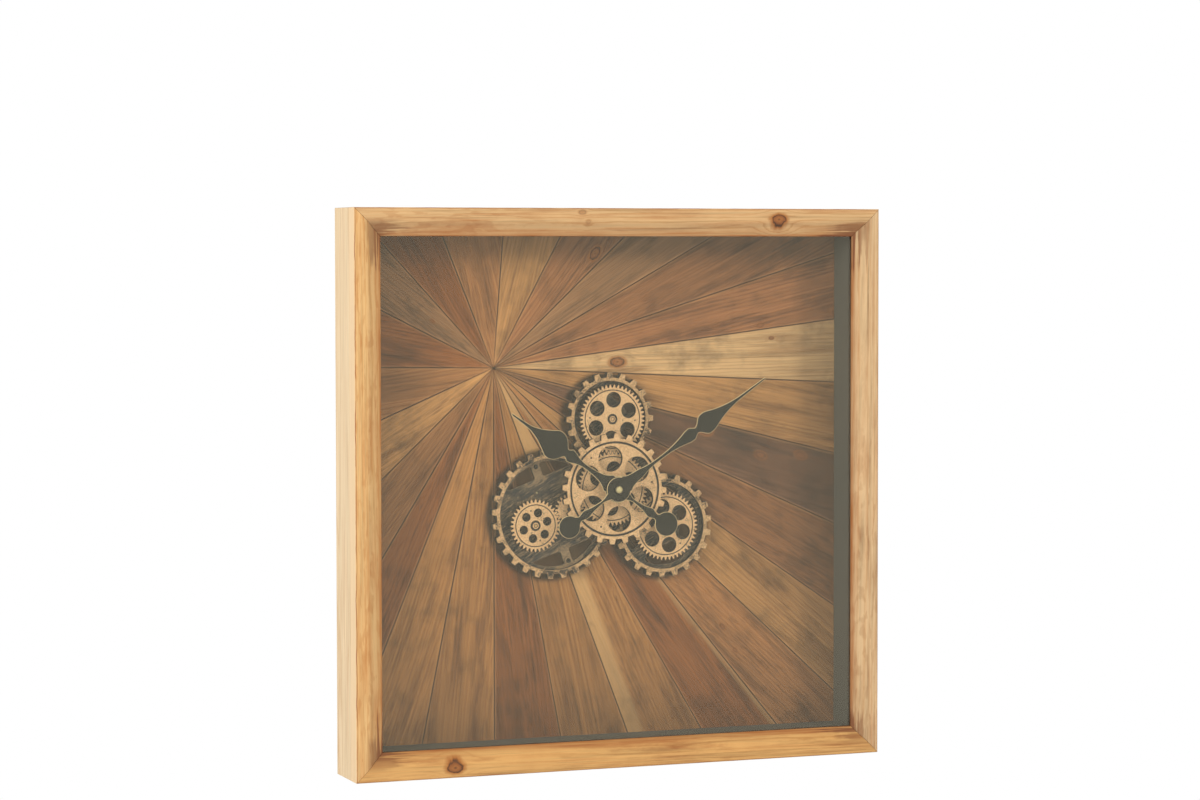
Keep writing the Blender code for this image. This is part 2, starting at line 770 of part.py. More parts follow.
def make_pin(name, parent):
    """A headed pin pressed into its spindle, whose head keeps the wheel on."""
    head_back = COUNTERBORE_FLOOR + SEAT_GAP
    head_front = head_back + PIN_HEAD_HEIGHT
    head_radius = COUNTERBORE_RADIUS - 2 * SEAT_GAP
    profile = [
        (0.0, head_front),
        (head_radius - PIN_CHAMFER, head_front),
        (head_radius, head_front - PIN_CHAMFER_HEIGHT),
        (head_radius, head_back),
        (PIN_SHANK_RADIUS, head_back),
        (PIN_SHANK_RADIUS, head_back - PIN_SHANK_LENGTH),
        (0.0, head_back - PIN_SHANK_LENGTH),
    ]
    finish(turned(name, parent, profile), "brass")


def ring_parts(name, parent, teeth, tip, turn):
    """The floor and the toothed rim of one ring of the base."""
    inner = tip - BLOCK_HEIGHT - RIM_WIDTH
    outlines = [block_outline(teeth, tip, turn), circle(inner, LARGE_STEPS)]
    rim = flat_plate(f"{name}_rim", parent, outlines, BASE_BACK, RIM_FRONT)
    floor = rod(f"{name}_floor", parent, inner + RIM_WIDTH / 2, BASE_BACK, FLOOR_FRONT, steps=LARGE_STEPS)
    return [rim, floor]


def floor_cutter(name, parent, outline):
    """A cutter with this outline that goes right through the base's floor."""
    return flat_plate(name, parent, [outline], BASE_BACK - PASS_THROUGH, FLOOR_FRONT + MOVING_AIR)


def spoke_windows(name, parent, outer, turn):
    """Four curved windows between spokes."""
    windows = []
    for i in range(4):
        middle = turn + 90 * i
        half = SPOKE_WINDOW_SWEEP / 2
        outline = arc(outer, middle - half, middle + half, WINDOW_STEPS)
        outline += arc(SPOKE_WINDOW_INNER, middle + half, middle - half, WINDOW_STEPS // 2)
        windows.append(floor_cutter(f"{name}_window_{i + 1}", parent, outline))
    return windows


def band_windows(parent):
    """Two pairs of windows beside the wide band of the left ring, each pair parted by a spoke."""
    outer = LEFT_RING_TIP - BLOCK_HEIGHT - RIM_WIDTH - BAND_WINDOW_EDGE
    reach = math.degrees(math.acos(BAND_HALF_WIDTH / outer))
    spoke = math.degrees(math.asin(BAND_SPOKE_WIDTH / 2 / outer))
    chord_start = math.degrees(math.atan(BAND_SPOKE_WIDTH / 2 / BAND_HALF_WIDTH))
    chord_radius = math.hypot(BAND_SPOKE_WIDTH / 2, BAND_HALF_WIDTH)
    windows = []
    for side in (0, 1):
        for hand in (-1, 1):
            middle = BAND_TURN + 180 * side
            outline = arc(outer, middle + hand * spoke, middle + hand * reach, WINDOW_STEPS)
            outline.append(polar(chord_radius, middle + hand * chord_start))
            windows.append(floor_cutter(f"band_window_{side}_{hand + 1}", parent, outline))
    return windows


def make_base():
    """Three toothed rings on one floor, with the spindles, the centre sleeve and the face gear's pillars."""
    base = rod("gear_base", hands_axis, CENTRE_FLOOR_RADIUS, BASE_BACK, FLOOR_FRONT, steps=LARGE_STEPS)
    rings = ring_parts("top_ring", top_axis, TOP_RING_TEETH, TOP_RING_TIP, 0.0)
    rings += ring_parts("right_ring", right_axis, RIGHT_RING_TEETH, RIGHT_RING_TIP, RIGHT_RING_TURN)
    rings += ring_parts("left_ring", left_ring_centre, LEFT_RING_TEETH, LEFT_RING_TIP, LEFT_RING_TURN)
    unite(base, rings)
    dish_radius = tip_radius(CENTRE_TEETH) + MOVING_AIR
    cut(base, [rod("centre_dish", hands_axis, dish_radius, FLOOR_FRONT, FACE_BACK, steps=LARGE_STEPS)])

    shoulder_front = WHEEL_BACK - SEAT_GAP
    seat_front = FACE_BACK - SEAT_GAP
    sleeve_radius = CENTRE_BORE - RUNNING_GAP
    shoulder_radius = SLEEVE_SHOULDER_RADIUS
    raised = [
        rod("sleeve_shoulder", hands_axis, shoulder_radius, BASE_BACK, shoulder_front, steps=HOLE_STEPS),
        rod("sleeve", hands_axis, sleeve_radius, BASE_BACK, seat_front, steps=HOLE_STEPS),
        rod("pinion_tower", pinion_axis, TOWER_RADIUS, BASE_BACK, shoulder_front),
    ]
    pillar_circle = dish_radius + PILLAR_RADIUS
    for i, turn in enumerate(PILLAR_TURNS):
        place = polar(pillar_circle, turn)
        raised.append(rod(f"pillar_{i + 1}", hands_axis, PILLAR_RADIUS, BASE_BACK, seat_front, centre=place))
    spindle_front = COUNTERBORE_FLOOR - SPINDLE_TOP_SETBACK
    pin_holes = []
    for place, parent in (("top", top_axis), ("right", right_axis), ("left", left_axis)):
        raised.append(rod(f"{place}_tower", parent, TOWER_RADIUS, BASE_BACK, shoulder_front))
        raised.append(rod(f"{place}_spindle", parent, SPINDLE_RADIUS, BASE_BACK, spindle_front))
        hole_back = COUNTERBORE_FLOOR - PIN_SHANK_LENGTH
        hole_radius = PIN_SHANK_RADIUS + SEAT_GAP
        pin_holes.append(rod(f"{place}_pin_hole", parent, hole_radius, hole_back, WHEEL_FRONT))
    screw_circle = LEFT_RING_TIP - BLOCK_HEIGHT - RIM_WIDTH - SCREW_SETBACK
    boss_front = FLOOR_FRONT + SCREW_BOSS_HEIGHT
    screw_holes = []
    for side in (1, 2):
        place = polar(screw_circle, BAND_TURN + 180 * (side - 1))
        boss = rod(
            f"screw_boss_{side}", left_ring_centre, SCREW_BOSS_RADIUS, BASE_BACK, boss_front, centre=place
        )
        hole = rod(f"screw_hole_{side}", left_ring_centre, SCREW_HOLE_RADIUS, 0, FACE_BACK, centre=place)
        raised.append(boss)
        screw_holes.append(hole)
    window_inset = BLOCK_HEIGHT + RIM_WIDTH + SPOKE_WINDOW_EDGE
    openings = spoke_windows("top", top_axis, TOP_RING_TIP - window_inset, TOP_WINDOW_TURN)
    openings += spoke_windows("right", right_axis, RIGHT_RING_TIP - window_inset, RIGHT_WINDOW_TURN)
    openings += band_windows(left_ring_centre)
    cut(base, openings)
    unite(base, raised)
    bores = [
        rod("sleeve_bore", hands_axis, SLEEVE_BORE_RADIUS, FLOOR_FRONT, FACE_FRONT, steps=HOLE_STEPS),
        rod("base_bush_hole", hands_axis, BUSH_RADIUS + SEAT_GAP, 0, FACE_FRONT),
        rod("base_shaft_hole", pinion_axis, DRIVE_SHAFT_RADIUS + SEAT_GAP, 0, FACE_FRONT),
    ]
    cut(base, bores + pin_holes + screw_holes)
    finish(base, "dark_bronze")


def make_face_gear():
    outlines = [block_outline(FACE_TEETH, FACE_TIP, FACE_TURN), circle(FACE_CENTRE_HOLE, HOLE_STEPS)]
    for i in range(HOLE_COUNT):
        centre = polar(FACE_HOLE_CIRCLE, FACE_HOLE_TURN + 360 * i / HOLE_COUNT)
        outlines.append(circle(FACE_HOLE_RADIUS, HOLE_STEPS, centre))
    face = flat_plate("face_gear", hands_axis, outlines, FACE_BACK, FACE_FRONT)
    groove_outer = FACE_TIP - BLOCK_HEIGHT - FACE_GROOVE_TO_ROOT
    groove = ring(
        "face_groove", hands_axis, groove_outer - FACE_GROOVE_WIDTH, groove_outer, FACE_FRONT - GROOVE_DEPTH
    )
    finish(cut(face, [groove]), "gold_bronze")


# Half widths of the hands along their length, from the tail disc through the hub to the tip, in mm.
HOUR_TAIL = (
    (-58.0, 6.0), (-53.5, 3.2), (-50.0, 4.2), (-46.5, 5.4), (-36.0, 2.8), (-22.0, 1.7),
    (-13.0, 4.5),
)
HOUR_BLADE = (
    (12.5, 10.0), (16.5, 7.6), (22.0, 5.0), (31.0, 3.2), (45.0, 2.3), (55.0, 3.7),
    (62.5, 6.6), (66.5, 7.4), (69.5, 5.2), (71.5, 4.6), (73.5, 6.6), (77.0, 11.3),
    (82.0, 15.0), (87.0, 16.3), (91.0, 15.8), (95.5, 13.3), (101.0, 10.0), (107.0, 6.9),
    (113.0, 4.5), (120.0, 2.6), (130.0, 1.5), (146.5, 0.7),
)
MINUTE_TAIL = (
    (-58.5, 6.0), (-53.5, 3.0), (-50.0, 3.8), (-46.5, 4.8), (-36.0, 2.6), (-22.0, 1.5),
    (-12.5, 4.0),
)
MINUTE_BLADE = (
    (11.5, 9.6), (15.5, 7.4), (22.0, 5.9), (30.0, 5.0), (40.0, 3.0), (50.0, 2.0),
    (60.0, 1.9), (70.0, 2.2), (80.0, 3.3), (90.0, 5.2), (99.0, 7.2), (103.0, 7.4),
    (106.5, 5.4), (109.5, 3.6), (113.0, 5.0), (116.5, 8.8), (121.0, 11.7), (126.0, 12.0),
    (132.0, 10.4), (140.0, 7.4), (150.0, 4.7), (160.0, 2.9), (170.0, 1.7), (185.0, 1.2),
    (207.8, 0.6),
)


def make_hand(name, back, stations, turn, hub, tail, bore):
    """A spade hand, symmetric about the line to its time, with a round hub and a round tail."""
    front = back + HAND_THICKNESS
    edges = {
        side: [polar(side * half * MM, turn + 90, polar(along * MM, turn)) for along, half in stations]
        for side in (1, -1)
    }
    hand = flat_plate(name, hands_axis, [edges[1] + edges[-1][::-1]], back, front)
    tail_centre = polar(-TAIL_DISC_CENTRE, turn)
    discs = [
        rod(f"{name}_hub", hands_axis, hub, back, front, steps=LARGE_STEPS),
        rod(f"{name}_tail", hands_axis, tail, back, front, steps=LARGE_STEPS, centre=tail_centre),
    ]
    unite(hand, discs)
    cut(hand, [rod(f"{name}_bore", hands_axis, bore, 0, front + PASS_THROUGH)])
    finish(hand, "black_aluminium")


def make_hands():
    make_hand(
        "hour_hand",
        HOUR_BACK,
        HOUR_TAIL + HOUR_BLADE,
        HOUR_TURN,
        HOUR_HUB_RADIUS,
        HOUR_TAIL_RADIUS,
        HOUR_TUBE_RADIUS + SEAT_GAP,
    )
    make_hand(
        "minute_hand",
        MINUTE_BACK,
        MINUTE_TAIL + MINUTE_BLADE,
        MINUTE_TURN,
        MINUTE_HUB_RADIUS,
        MINUTE_TAIL_RADIUS,
        ARBOR_RADIUS + SEAT_GAP,
    )
    bore_floor = CASE_FRONT + BUSH_LENGTH - BUSH_BORE_DEPTH
    tube_inner = ARBOR_RADIUS + RUNNING_GAP
    collar_front = HOUR_BACK - SEAT_GAP
    collar_radius = HOUR_TUBE_RADIUS + 2 * SEAT_GAP
    tube_front = HOUR_FRONT + 2 * SEAT_GAP
    tube_back = bore_floor + POCKET_GAP
    tube = [
        (tube_inner, tube_front),
        (HOUR_TUBE_RADIUS, tube_front),
        (HOUR_TUBE_RADIUS, collar_front),
        (collar_radius, collar_front),
        (collar_radius, collar_front - SHOULDER_HEIGHT),
        (HOUR_TUBE_RADIUS, collar_front - SHOULDER_HEIGHT),
        (HOUR_TUBE_RADIUS, tube_back),
        (tube_inner, tube_back),
    ]
    finish(turned("hour_tube", hands_axis, tube, closed=True), "brass")
    cap_front = CAP_BACK + CAP_HEIGHT
    arbor_front = cap_front - 2 * SEAT_GAP - SHOULDER_HEIGHT / 2
    shoulder_front = MINUTE_BACK - SEAT_GAP
    arbor = [
        (0.0, arbor_front),
        (ARBOR_RADIUS, arbor_front),
        (ARBOR_RADIUS, shoulder_front),
        (HOUR_TUBE_RADIUS, shoulder_front),
        (HOUR_TUBE_RADIUS, shoulder_front - SHOULDER_HEIGHT),
        (ARBOR_RADIUS, shoulder_front - SHOULDER_HEIGHT),
        (ARBOR_RADIUS, bore_floor + SEAT_GAP),
        (0.0, bore_floor + SEAT_GAP),
    ]
    finish(turned("minute_arbor", hands_axis, arbor), "steel")
    hole = ARBOR_RADIUS + SEAT_GAP
    cap = [(0.0, cap_front)]
    cap += [
        (CAP_RADIUS * math.sin(a), CAP_BACK + CAP_SKIRT + (CAP_HEIGHT - CAP_SKIRT) * math.cos(a))
        for a in (math.pi / 8, math.pi / 4, 3 * math.pi / 8, math.pi / 2)
    ]
    cap += [
        (CAP_RADIUS, CAP_BACK),
        (hole, CAP_BACK),
        (hole, arbor_front + SEAT_GAP),
        (0.0, arbor_front + SEAT_GAP),
    ]
    finish(turned("hand_cap", hands_axis, cap), "brass")


def battery(name, parent, centre, along_x):
    """A round cell lying in its bay, with its nub at one end."""
    half = BATTERY_LENGTH / 2
    wall = CASE_FRONT - BAY_WALL - SEAT_GAP - BATTERY_RADIUS
    profile = [
        (0.0, half),
        (BATTERY_NUB_RADIUS, half),
        (BATTERY_NUB_RADIUS, half - BATTERY_NUB_LENGTH),
        (BATTERY_RADIUS, half - BATTERY_NUB_LENGTH),
        (BATTERY_RADIUS, -half),
        (0.0, -half),
    ]
    cell = turned(name, parent, profile, steps=HOLE_STEPS)
    cell.rotation_euler = (0, math.radians(90), 0) if along_x else (0, 0, 0)
    cell.location = (centre[0], -wall, centre[1])
    finish(cell, "battery_label")


def case_box(name, parent, x, z, width, height):
    case = box(
        name, parent, x - width / 2, x + width / 2, z - height / 2, z + height / 2, CASE_BACK, CASE_FRONT
    )
    return rounded(case, CASE_CORNER)


def bay(name, parent, x, z, half_x, half_z):
    """A battery bay that is open at the back."""
    return box(
        name, parent, x - half_x, x + half_x, z - half_z, z + half_z, -PASS_THROUGH, CASE_FRONT - BAY_WALL
    )


def fluted_outline():
    outline = []
    for i in range(KNOB_FLUTES):
        turn = 360 * i / KNOB_FLUTES
        outline.append(polar(KNOB_RADIUS, turn))
        outline.append(polar(KNOB_RADIUS - 2 * SEAT_GAP, turn + 180 / KNOB_FLUTES))
    return outline


def make_movement():
    half_radius = BATTERY_RADIUS + SEAT_GAP
    half_length = BATTERY_LENGTH / 2 + SEAT_GAP
    case = case_box("movement_case", hands_axis, 0, 0, CASE_SIDE, CASE_SIDE)
    bush_front = CASE_FRONT + BUSH_LENGTH
    unite(case, [rod("bush", hands_axis, BUSH_RADIUS, CASE_FRONT - BAY_WALL, bush_front)])
    knob_back = CASE_BACK + SEAT_GAP
    knob_front = knob_back + KNOB_THICKNESS
    stem_front = knob_front + KNOB_STEM_LENGTH
    knob_place = (KNOB_RIGHT, -KNOB_DROP)
    recess = rod(
        "knob_recess",
        hands_axis,
        KNOB_RADIUS + POCKET_GAP,
        -PASS_THROUGH,
        knob_front + SEAT_GAP,
        steps=HOLE_STEPS,
        centre=knob_place,
    )
    stem_hole = rod(
        "stem_hole", hands_axis, KNOB_STEM_RADIUS + SEAT_GAP, 0, stem_front + SEAT_GAP, centre=knob_place
    )
    bore_floor = bush_front - BUSH_BORE_DEPTH
    bore = rod("bush_bore", hands_axis, HOUR_TUBE_RADIUS + SEAT_GAP, bore_floor, bush_front + PASS_THROUGH)
    battery_bay = bay("movement_bay", hands_axis, -BAY_LEFT, 0, half_radius, half_length)
    cut(case, [battery_bay, recess, stem_hole, bore])
    finish(case, "black_plastic")
    battery("movement_battery", hands_axis, (-BAY_LEFT, 0), along_x=False)

    knob = flat_plate("setting_knob", knob_axis, [fluted_outline()], knob_back, knob_front)
    stem = rod("knob_stem", knob_axis, KNOB_STEM_RADIUS, knob_front - POCKET_GAP, stem_front)
    finish(unite(knob, [stem]), "black_plastic")

    nut_back = FLOOR_FRONT + SEAT_GAP
    nut = rod("clamp_nut", hands_axis, NUT_CORNER_RADIUS, nut_back, nut_back + NUT_HEIGHT, steps=6)
    finish(cut(nut, [rod("nut_hole", hands_axis, BUSH_RADIUS + SEAT_GAP, 0, FACE_FRONT)]), "brass")


def make_gear_drive():
    """The geared motor that turns the pinion, in its own housing with its own battery."""
    half_radius = BATTERY_RADIUS + SEAT_GAP
    half_length = BATTERY_LENGTH / 2 + SEAT_GAP
    x, z = DRIVE_CENTRE
    case = case_box("gear_drive_case", clock, x, z, DRIVE_WIDTH, DRIVE_HEIGHT)
    shaft_back = CASE_FRONT - DRIVE_SHAFT_DEPTH
    hole = rod(
        "case_shaft_hole", clock, DRIVE_SHAFT_RADIUS + SEAT_GAP, shaft_back, SLAT_FRONT, centre=PINION_AXIS
    )
    cut(case, [bay("drive_bay", clock, x, z - DRIVE_BAY_DROP, half_length, half_radius), hole])
    finish(case, "black_plastic")
    battery("gear_drive_battery", clock, (x, z - DRIVE_BAY_DROP), along_x=True)
    shaft = rod("drive_shaft", pinion_axis, DRIVE_SHAFT_RADIUS, shaft_back + SEAT_GAP, WHEEL_FRONT + SEAT_GAP)
    finish(shaft, "steel")


def make_hanger():
    """A steel keyhole plate at the top of the back. Its slot's top is the origin's height."""
    front = BACK_RECESS - SEAT_GAP
    top = HOOK_RISE + HANGER_TOP_MARGIN
    bottom = top - HANGER_HEIGHT
    half = HANGER_WIDTH / 2
    edge = [(-half, bottom), (half, bottom), (half, top), (-half, top)]
    slot_top = HOOK_RISE
    entry = (0.0, HOOK_RISE - KEYHOLE_DROP)
    open_half = math.degrees(math.asin(KEYHOLE_SLOT_RADIUS / KEYHOLE_RADIUS))
    keyhole = arc(KEYHOLE_SLOT_RADIUS, -90, 90, KEYHOLE_STEPS, (0.0, slot_top))
    keyhole += arc(KEYHOLE_RADIUS, open_half, 360 - open_half, HOLE_STEPS, entry)
    screw_x = half - HANGER_SCREW_INSET
    screw_z = (top + bottom) / 2
    screws = [circle(HANGER_SCREW_RADIUS, SMALL_STEPS, (x, screw_z)) for x in (-screw_x, screw_x)]
    plate = flat_plate("hanger_plate", clock, [edge, keyhole, *screws], front - HANGER_THICKNESS, front)
    finish(plate, "steel")


clear_scene()
parts = new_collection("square_wall_clock")
tools = new_collection("cutters")

AXIS = (0.0, -DIAL_DROP)
TOP_AXIS = polar(mesh_distance(CENTRE_TEETH, DISC_TEETH), TOP_DIRECTION, AXIS)
RIGHT_AXIS = polar(mesh_distance(CENTRE_TEETH, DISC_TEETH), RIGHT_DIRECTION, AXIS)
PINION_AXIS = polar(mesh_distance(CENTRE_TEETH, PINION_TEETH), PINION_DIRECTION, AXIS)
LEFT_AXIS = polar(mesh_distance(PINION_TEETH, LEFT_TEETH), PINION_DIRECTION, PINION_AXIS)
LEFT_RING_CENTRE = polar(LEFT_RING_REACH, LEFT_RING_DIRECTION, AXIS)
DRIVE_CENTRE = (PINION_AXIS[0] - DRIVE_SHAFT_X, PINION_AXIS[1] - DRIVE_SHAFT_Z)

clock = new_empty("clock", None, 0, -HOOK_RISE)
hands_axis = new_empty("hands_axis", clock, *AXIS)
top_axis = new_empty("top_axis", clock, *TOP_AXIS)
right_axis = new_empty("right_axis", clock, *RIGHT_AXIS)
pinion_axis = new_empty("pinion_axis", clock, *PINION_AXIS)
left_axis = new_empty("left_axis", clock, *LEFT_AXIS)
left_ring_centre = new_empty("left_ring_centre", clock, *LEFT_RING_CENTRE)
knob_axis = new_empty("knob_axis", hands_axis, KNOB_RIGHT, -KNOB_DROP)

make_frame()
make_backing()
make_slats()
make_base()
make_wheels()
make_face_gear()
make_hands()
make_movement()
make_gear_drive()
make_hanger()
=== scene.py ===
# %% [markdown]
# # A square wooden wall clock with open gears
#
# The clock is a deep box of lacquered fir. A sheet of glass closes its front. Behind the glass a
# panel of wooden slats fans out from one point, and a cluster of bronze gears stands in front of it.
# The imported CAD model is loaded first, because every new piece takes its place and size from it.

import json
import math
from functools import partial

import bpy
import numpy as np
from mathutils import Matrix, Vector
from mathutils.geometry import delaunay_2d_cdt


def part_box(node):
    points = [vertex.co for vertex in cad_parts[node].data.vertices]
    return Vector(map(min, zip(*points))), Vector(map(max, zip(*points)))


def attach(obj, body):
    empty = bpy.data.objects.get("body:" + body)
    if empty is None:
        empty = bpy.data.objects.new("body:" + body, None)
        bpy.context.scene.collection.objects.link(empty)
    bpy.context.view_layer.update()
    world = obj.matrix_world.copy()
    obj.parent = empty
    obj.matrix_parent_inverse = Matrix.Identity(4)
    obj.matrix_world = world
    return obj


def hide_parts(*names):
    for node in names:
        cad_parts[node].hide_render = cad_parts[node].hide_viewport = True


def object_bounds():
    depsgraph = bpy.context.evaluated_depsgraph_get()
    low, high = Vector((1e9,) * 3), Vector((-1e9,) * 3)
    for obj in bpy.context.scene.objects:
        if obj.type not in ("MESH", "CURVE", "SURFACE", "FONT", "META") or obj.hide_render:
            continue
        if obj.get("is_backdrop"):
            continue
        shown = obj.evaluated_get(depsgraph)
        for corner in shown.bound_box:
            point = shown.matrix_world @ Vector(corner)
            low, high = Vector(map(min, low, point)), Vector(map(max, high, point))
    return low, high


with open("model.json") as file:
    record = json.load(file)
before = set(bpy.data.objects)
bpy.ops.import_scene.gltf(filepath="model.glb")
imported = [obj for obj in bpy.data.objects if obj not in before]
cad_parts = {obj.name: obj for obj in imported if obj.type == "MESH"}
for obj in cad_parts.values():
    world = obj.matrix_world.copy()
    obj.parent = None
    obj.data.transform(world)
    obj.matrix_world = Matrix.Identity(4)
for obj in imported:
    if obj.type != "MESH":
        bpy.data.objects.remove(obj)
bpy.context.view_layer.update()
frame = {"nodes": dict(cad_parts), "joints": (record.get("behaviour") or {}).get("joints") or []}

# %% [markdown]
# ## One place to measure from
#
# The makers of such a clock measure everything from its middle and from the wall. So does this
# script: x to the right, z up, both from the clock's centre, and depth outwards from the wall, all in
# millimetres. Blender works in metres, so one function turns the numbers over at the very end.

# %% Measures taken from the frame
MM = 0.001
HALF = (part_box("moulding_top")[1].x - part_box("moulding_top")[0].x) / 2 / MM
CENTRE_Z = (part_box("moulding_top")[1].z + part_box("moulding_bottom")[0].z) / 2
AXES = {joint["child"]: joint["pos_m"] for joint in frame["joints"]}


def depths(node):
    """How far a node's back and its front stand from the wall, in mm."""
    low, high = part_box(node)
    return round(-high.y / MM, 3), round(-low.y / MM, 3)


def axis_of(body):
    """Where a turning body's axis stands, from the clock's centre, in mm."""
    x, _, z = AXES[body]
    return np.array([x / MM, (z - CENTRE_Z) / MM])


def polar(radius, turn, centre=(0.0, 0.0)):
    """Points at a distance from a centre, at a clockwise angle from twelve o'clock."""
    angle = np.radians(turn)
    return np.stack([centre[0] + radius * np.sin(angle), centre[1] + radius * np.cos(angle)], axis=-1)


HANDS_AXIS = axis_of("minute_hand")
TOP_AXIS = axis_of("top_wheel")
RIGHT_AXIS = axis_of("right_wheel")
LEFT_AXIS = axis_of("left_wheel")
PINION_AXIS = axis_of("drive_pinion")
FRONT = depths("moulding_top")[1]
print("half width", HALF, "front", FRONT, "hands' axis", HANDS_AXIS)

# %% [markdown]
# ## Outlines, walls and caps
#
# Gears, slats and hands are all plates: an outline in the plane of the wall, given a thickness and
# softened edges. They could be made with Blender's extrude and bevel tools. Here an edge profile is
# carried along each outline instead, because a profile can also hold a groove or a step, and the
# corners keep their shape. The flat faces are filled by a triangulation that knows about holes.

# %% Outlines
GRID = 1024.0  # steps in a mm, so that every coordinate is exact in single precision


def outline(points, hole=False):
    """A closed outline as (points, edges). The material is on the right of the way it runs, so an
    outer edge runs clockwise and a hole's edge anticlockwise."""
    points = np.round(np.asarray(points, float) * GRID) / GRID
    following = np.roll(points, -1, axis=0)
    area = (points[:, 0] * following[:, 1] - following[:, 0] * points[:, 1]).sum()
    if (area > 0) != hole:
        points = points[::-1]
    index = np.arange(len(points))
    return points, np.stack([index, np.roll(index, -1)], axis=1)


def circle(radius, centre=(0.0, 0.0), steps=96, hole=False):
    """A round outline."""
    return outline(polar(radius, np.arange(steps) * 360 / steps, centre), hole)


def joined(outlines):
    """Several outlines as one list of points and one of edges."""
    starts = np.cumsum([0] + [len(points) for points, _ in outlines])
    points = np.concatenate([points for points, _ in outlines])
    edges = np.concatenate([edges + start for (_, edges), start in zip(outlines, starts)])
    return points, edges


def inside(places, outlines):
    """Which places lie inside an odd number of outlines, by counting the edges on their right."""
    points, edges = joined(outlines)
    a, b = points[edges[:, 0]], points[edges[:, 1]]
    rise = np.where(b[:, 1] == a[:, 1], 1.0, b[:, 1] - a[:, 1])
    x, z = places[:, :1], places[:, 1:]
    crossing = (a[:, 1] > z) != (b[:, 1] > z)
    meets = a[:, 0] + (z - a[:, 1]) * (b[:, 0] - a[:, 0]) / rise
    return (crossing & (x < meets)).sum(axis=1) % 2 == 1


def cells(outlines):
    """Triangles that fill the plane between outlines, each one anticlockwise."""
    points, edges = joined(outlines)
    found, _, faces, *_ = delaunay_2d_cdt(points.tolist(), edges.tolist(), [], 0, 1e-6)
    found = np.array([tuple(point) for point in found])
    faces = np.array(faces)
    a, b, c = (found[faces[:, i]] for i in range(3))
    area = (b[:, 0] - a[:, 0]) * (c[:, 1] - a[:, 1]) - (c[:, 0] - a[:, 0]) * (b[:, 1] - a[:, 1])
    faces = np.where(area[:, None] < 0, faces[:, ::-1], faces)[np.abs(area) > 1e-9]
    return found, faces


def region(outlines, keep):
    """The outline of every place for which keep is true. keep is asked at each triangle's middle."""
    points, faces = cells(outlines)
    faces = faces[keep(points[faces].mean(axis=1))]
    edges = np.concatenate([faces[:, [0, 1]], faces[:, [1, 2]], faces[:, [2, 0]]])
    code = edges[:, 0] * len(points) + edges[:, 1]
    back = edges[:, 1] * len(points) + edges[:, 0]
    border = edges[~np.isin(code, back)][:, ::-1]
    used, index = np.unique(border, return_inverse=True)
    return np.round(points[used] * GRID) / GRID, index.reshape(-1, 2)


def within(places, shapes):
    """Which places lie inside any of the outlines."""
    return np.any([inside(places, [shape]) for shape in shapes], axis=0)


def cut(solids, holes):
    """The outline of what lies inside any of the solids and outside all of the holes."""
    return region([*solids, *holes], lambda places: within(places, solids) & ~within(places, holes))


# %% Walls and caps
def moved_in(points, edges, inset):
    """The points moved into the material by a distance, along the mitre of their corners: the sum of
    the two edges' normals, made long enough that both edges move by that distance."""
    step = points[edges[:, 1]] - points[edges[:, 0]]
    length = np.linalg.norm(step, axis=1, keepdims=True)
    normal = np.stack([step[:, 1], -step[:, 0]], axis=1) / np.maximum(length, 1e-9)
    before = np.zeros_like(points)
    after = np.zeros_like(points)
    before[edges[:, 1]] = normal
    after[edges[:, 0]] = normal
    both = before + after
    mitre = both / np.maximum((both * after).sum(axis=1, keepdims=True), 0.01)
    return np.round((points + inset * mitre) * GRID) / GRID


def skin(grid, edges):
    """Triangles over a grid of points (rows, columns, 3). Each row is joined to the next one, and the
    columns as the edges say."""
    rows, columns = grid.shape[:2]
    index = np.arange(rows * columns).reshape(rows, columns)
    a, b = index[:-1][:, edges[:, 0]], index[:-1][:, edges[:, 1]]
    d, c = index[1:][:, edges[:, 0]], index[1:][:, edges[:, 1]]
    corners = [np.stack(three, axis=-1).reshape(-1, 3) for three in ((a, d, c), (a, c, b))]
    return grid.reshape(-1, 3), np.concatenate(corners)


def walls(shape, rows):
    """Carries a profile along an outline. A row is (distance into the material, depth), and the rows
    run from the back to the front."""
    points, edges = shape
    layers = []
    for inset, depth in rows:
        flat = moved_in(points, edges, inset)
        layers.append(np.stack([flat[:, 0], np.full(len(flat), depth), flat[:, 1]], axis=1))
    return skin(np.stack(layers), edges)


def cap(shapes, depth, forward):
    """Fills the space between outlines at one depth, facing the front or the wall."""
    points, faces = cells(shapes)
    faces = faces[inside(points[faces].mean(axis=1), shapes)]
    solid = np.stack([points[:, 0], np.full(len(points), depth), points[:, 1]], axis=1)
    return solid, faces if forward else faces[:, ::-1]


def caps(edges):
    """What closes a plate, by depth: at its back, at its front and at the floors of its pockets."""
    found = {}
    for (points, links), rows in edges:
        for inset, depth in (rows[0], rows[-1]):
            found.setdefault(depth, []).append((moved_in(points, links, inset), links))
    return found


def plate(edges):
    """A plate from pairs of an outline and its profile rows. Outlines that start at the back or end
    at the front share a cap there."""
    found = caps(edges)
    back, front = min(found), max(found)
    parts = [walls(shape, rows) for shape, rows in edges]
    return stacked(parts + [cap(found[back], back, False), cap(found[front], front, True)])


def pocket_floors(edges):
    """The floors of a plate's pockets, whose outlines start in between its back and its front."""
    found = caps(edges)
    return stacked([cap(found[depth], depth, True) for depth in sorted(found)[1:-1]])


def turned(rows, centre=(0.0, 0.0), steps=48):
    """Carries a profile of (radius, depth) round an axis that stands square to the wall. The profile
    runs from the back outwards to the front."""
    rows = np.array(rows, float)
    ring = polar(1.0, np.arange(steps) * 360 / steps)
    grid = np.empty((len(rows), steps, 3))
    grid[..., 0] = centre[0] + rows[:, :1] * ring[:, 0]
    grid[..., 1] = rows[:, 1:]
    grid[..., 2] = centre[1] + rows[:, :1] * ring[:, 1]
    index = np.arange(steps)
    return skin(np.round(grid * GRID) / GRID, np.stack([index, np.roll(index, -1)], axis=1))


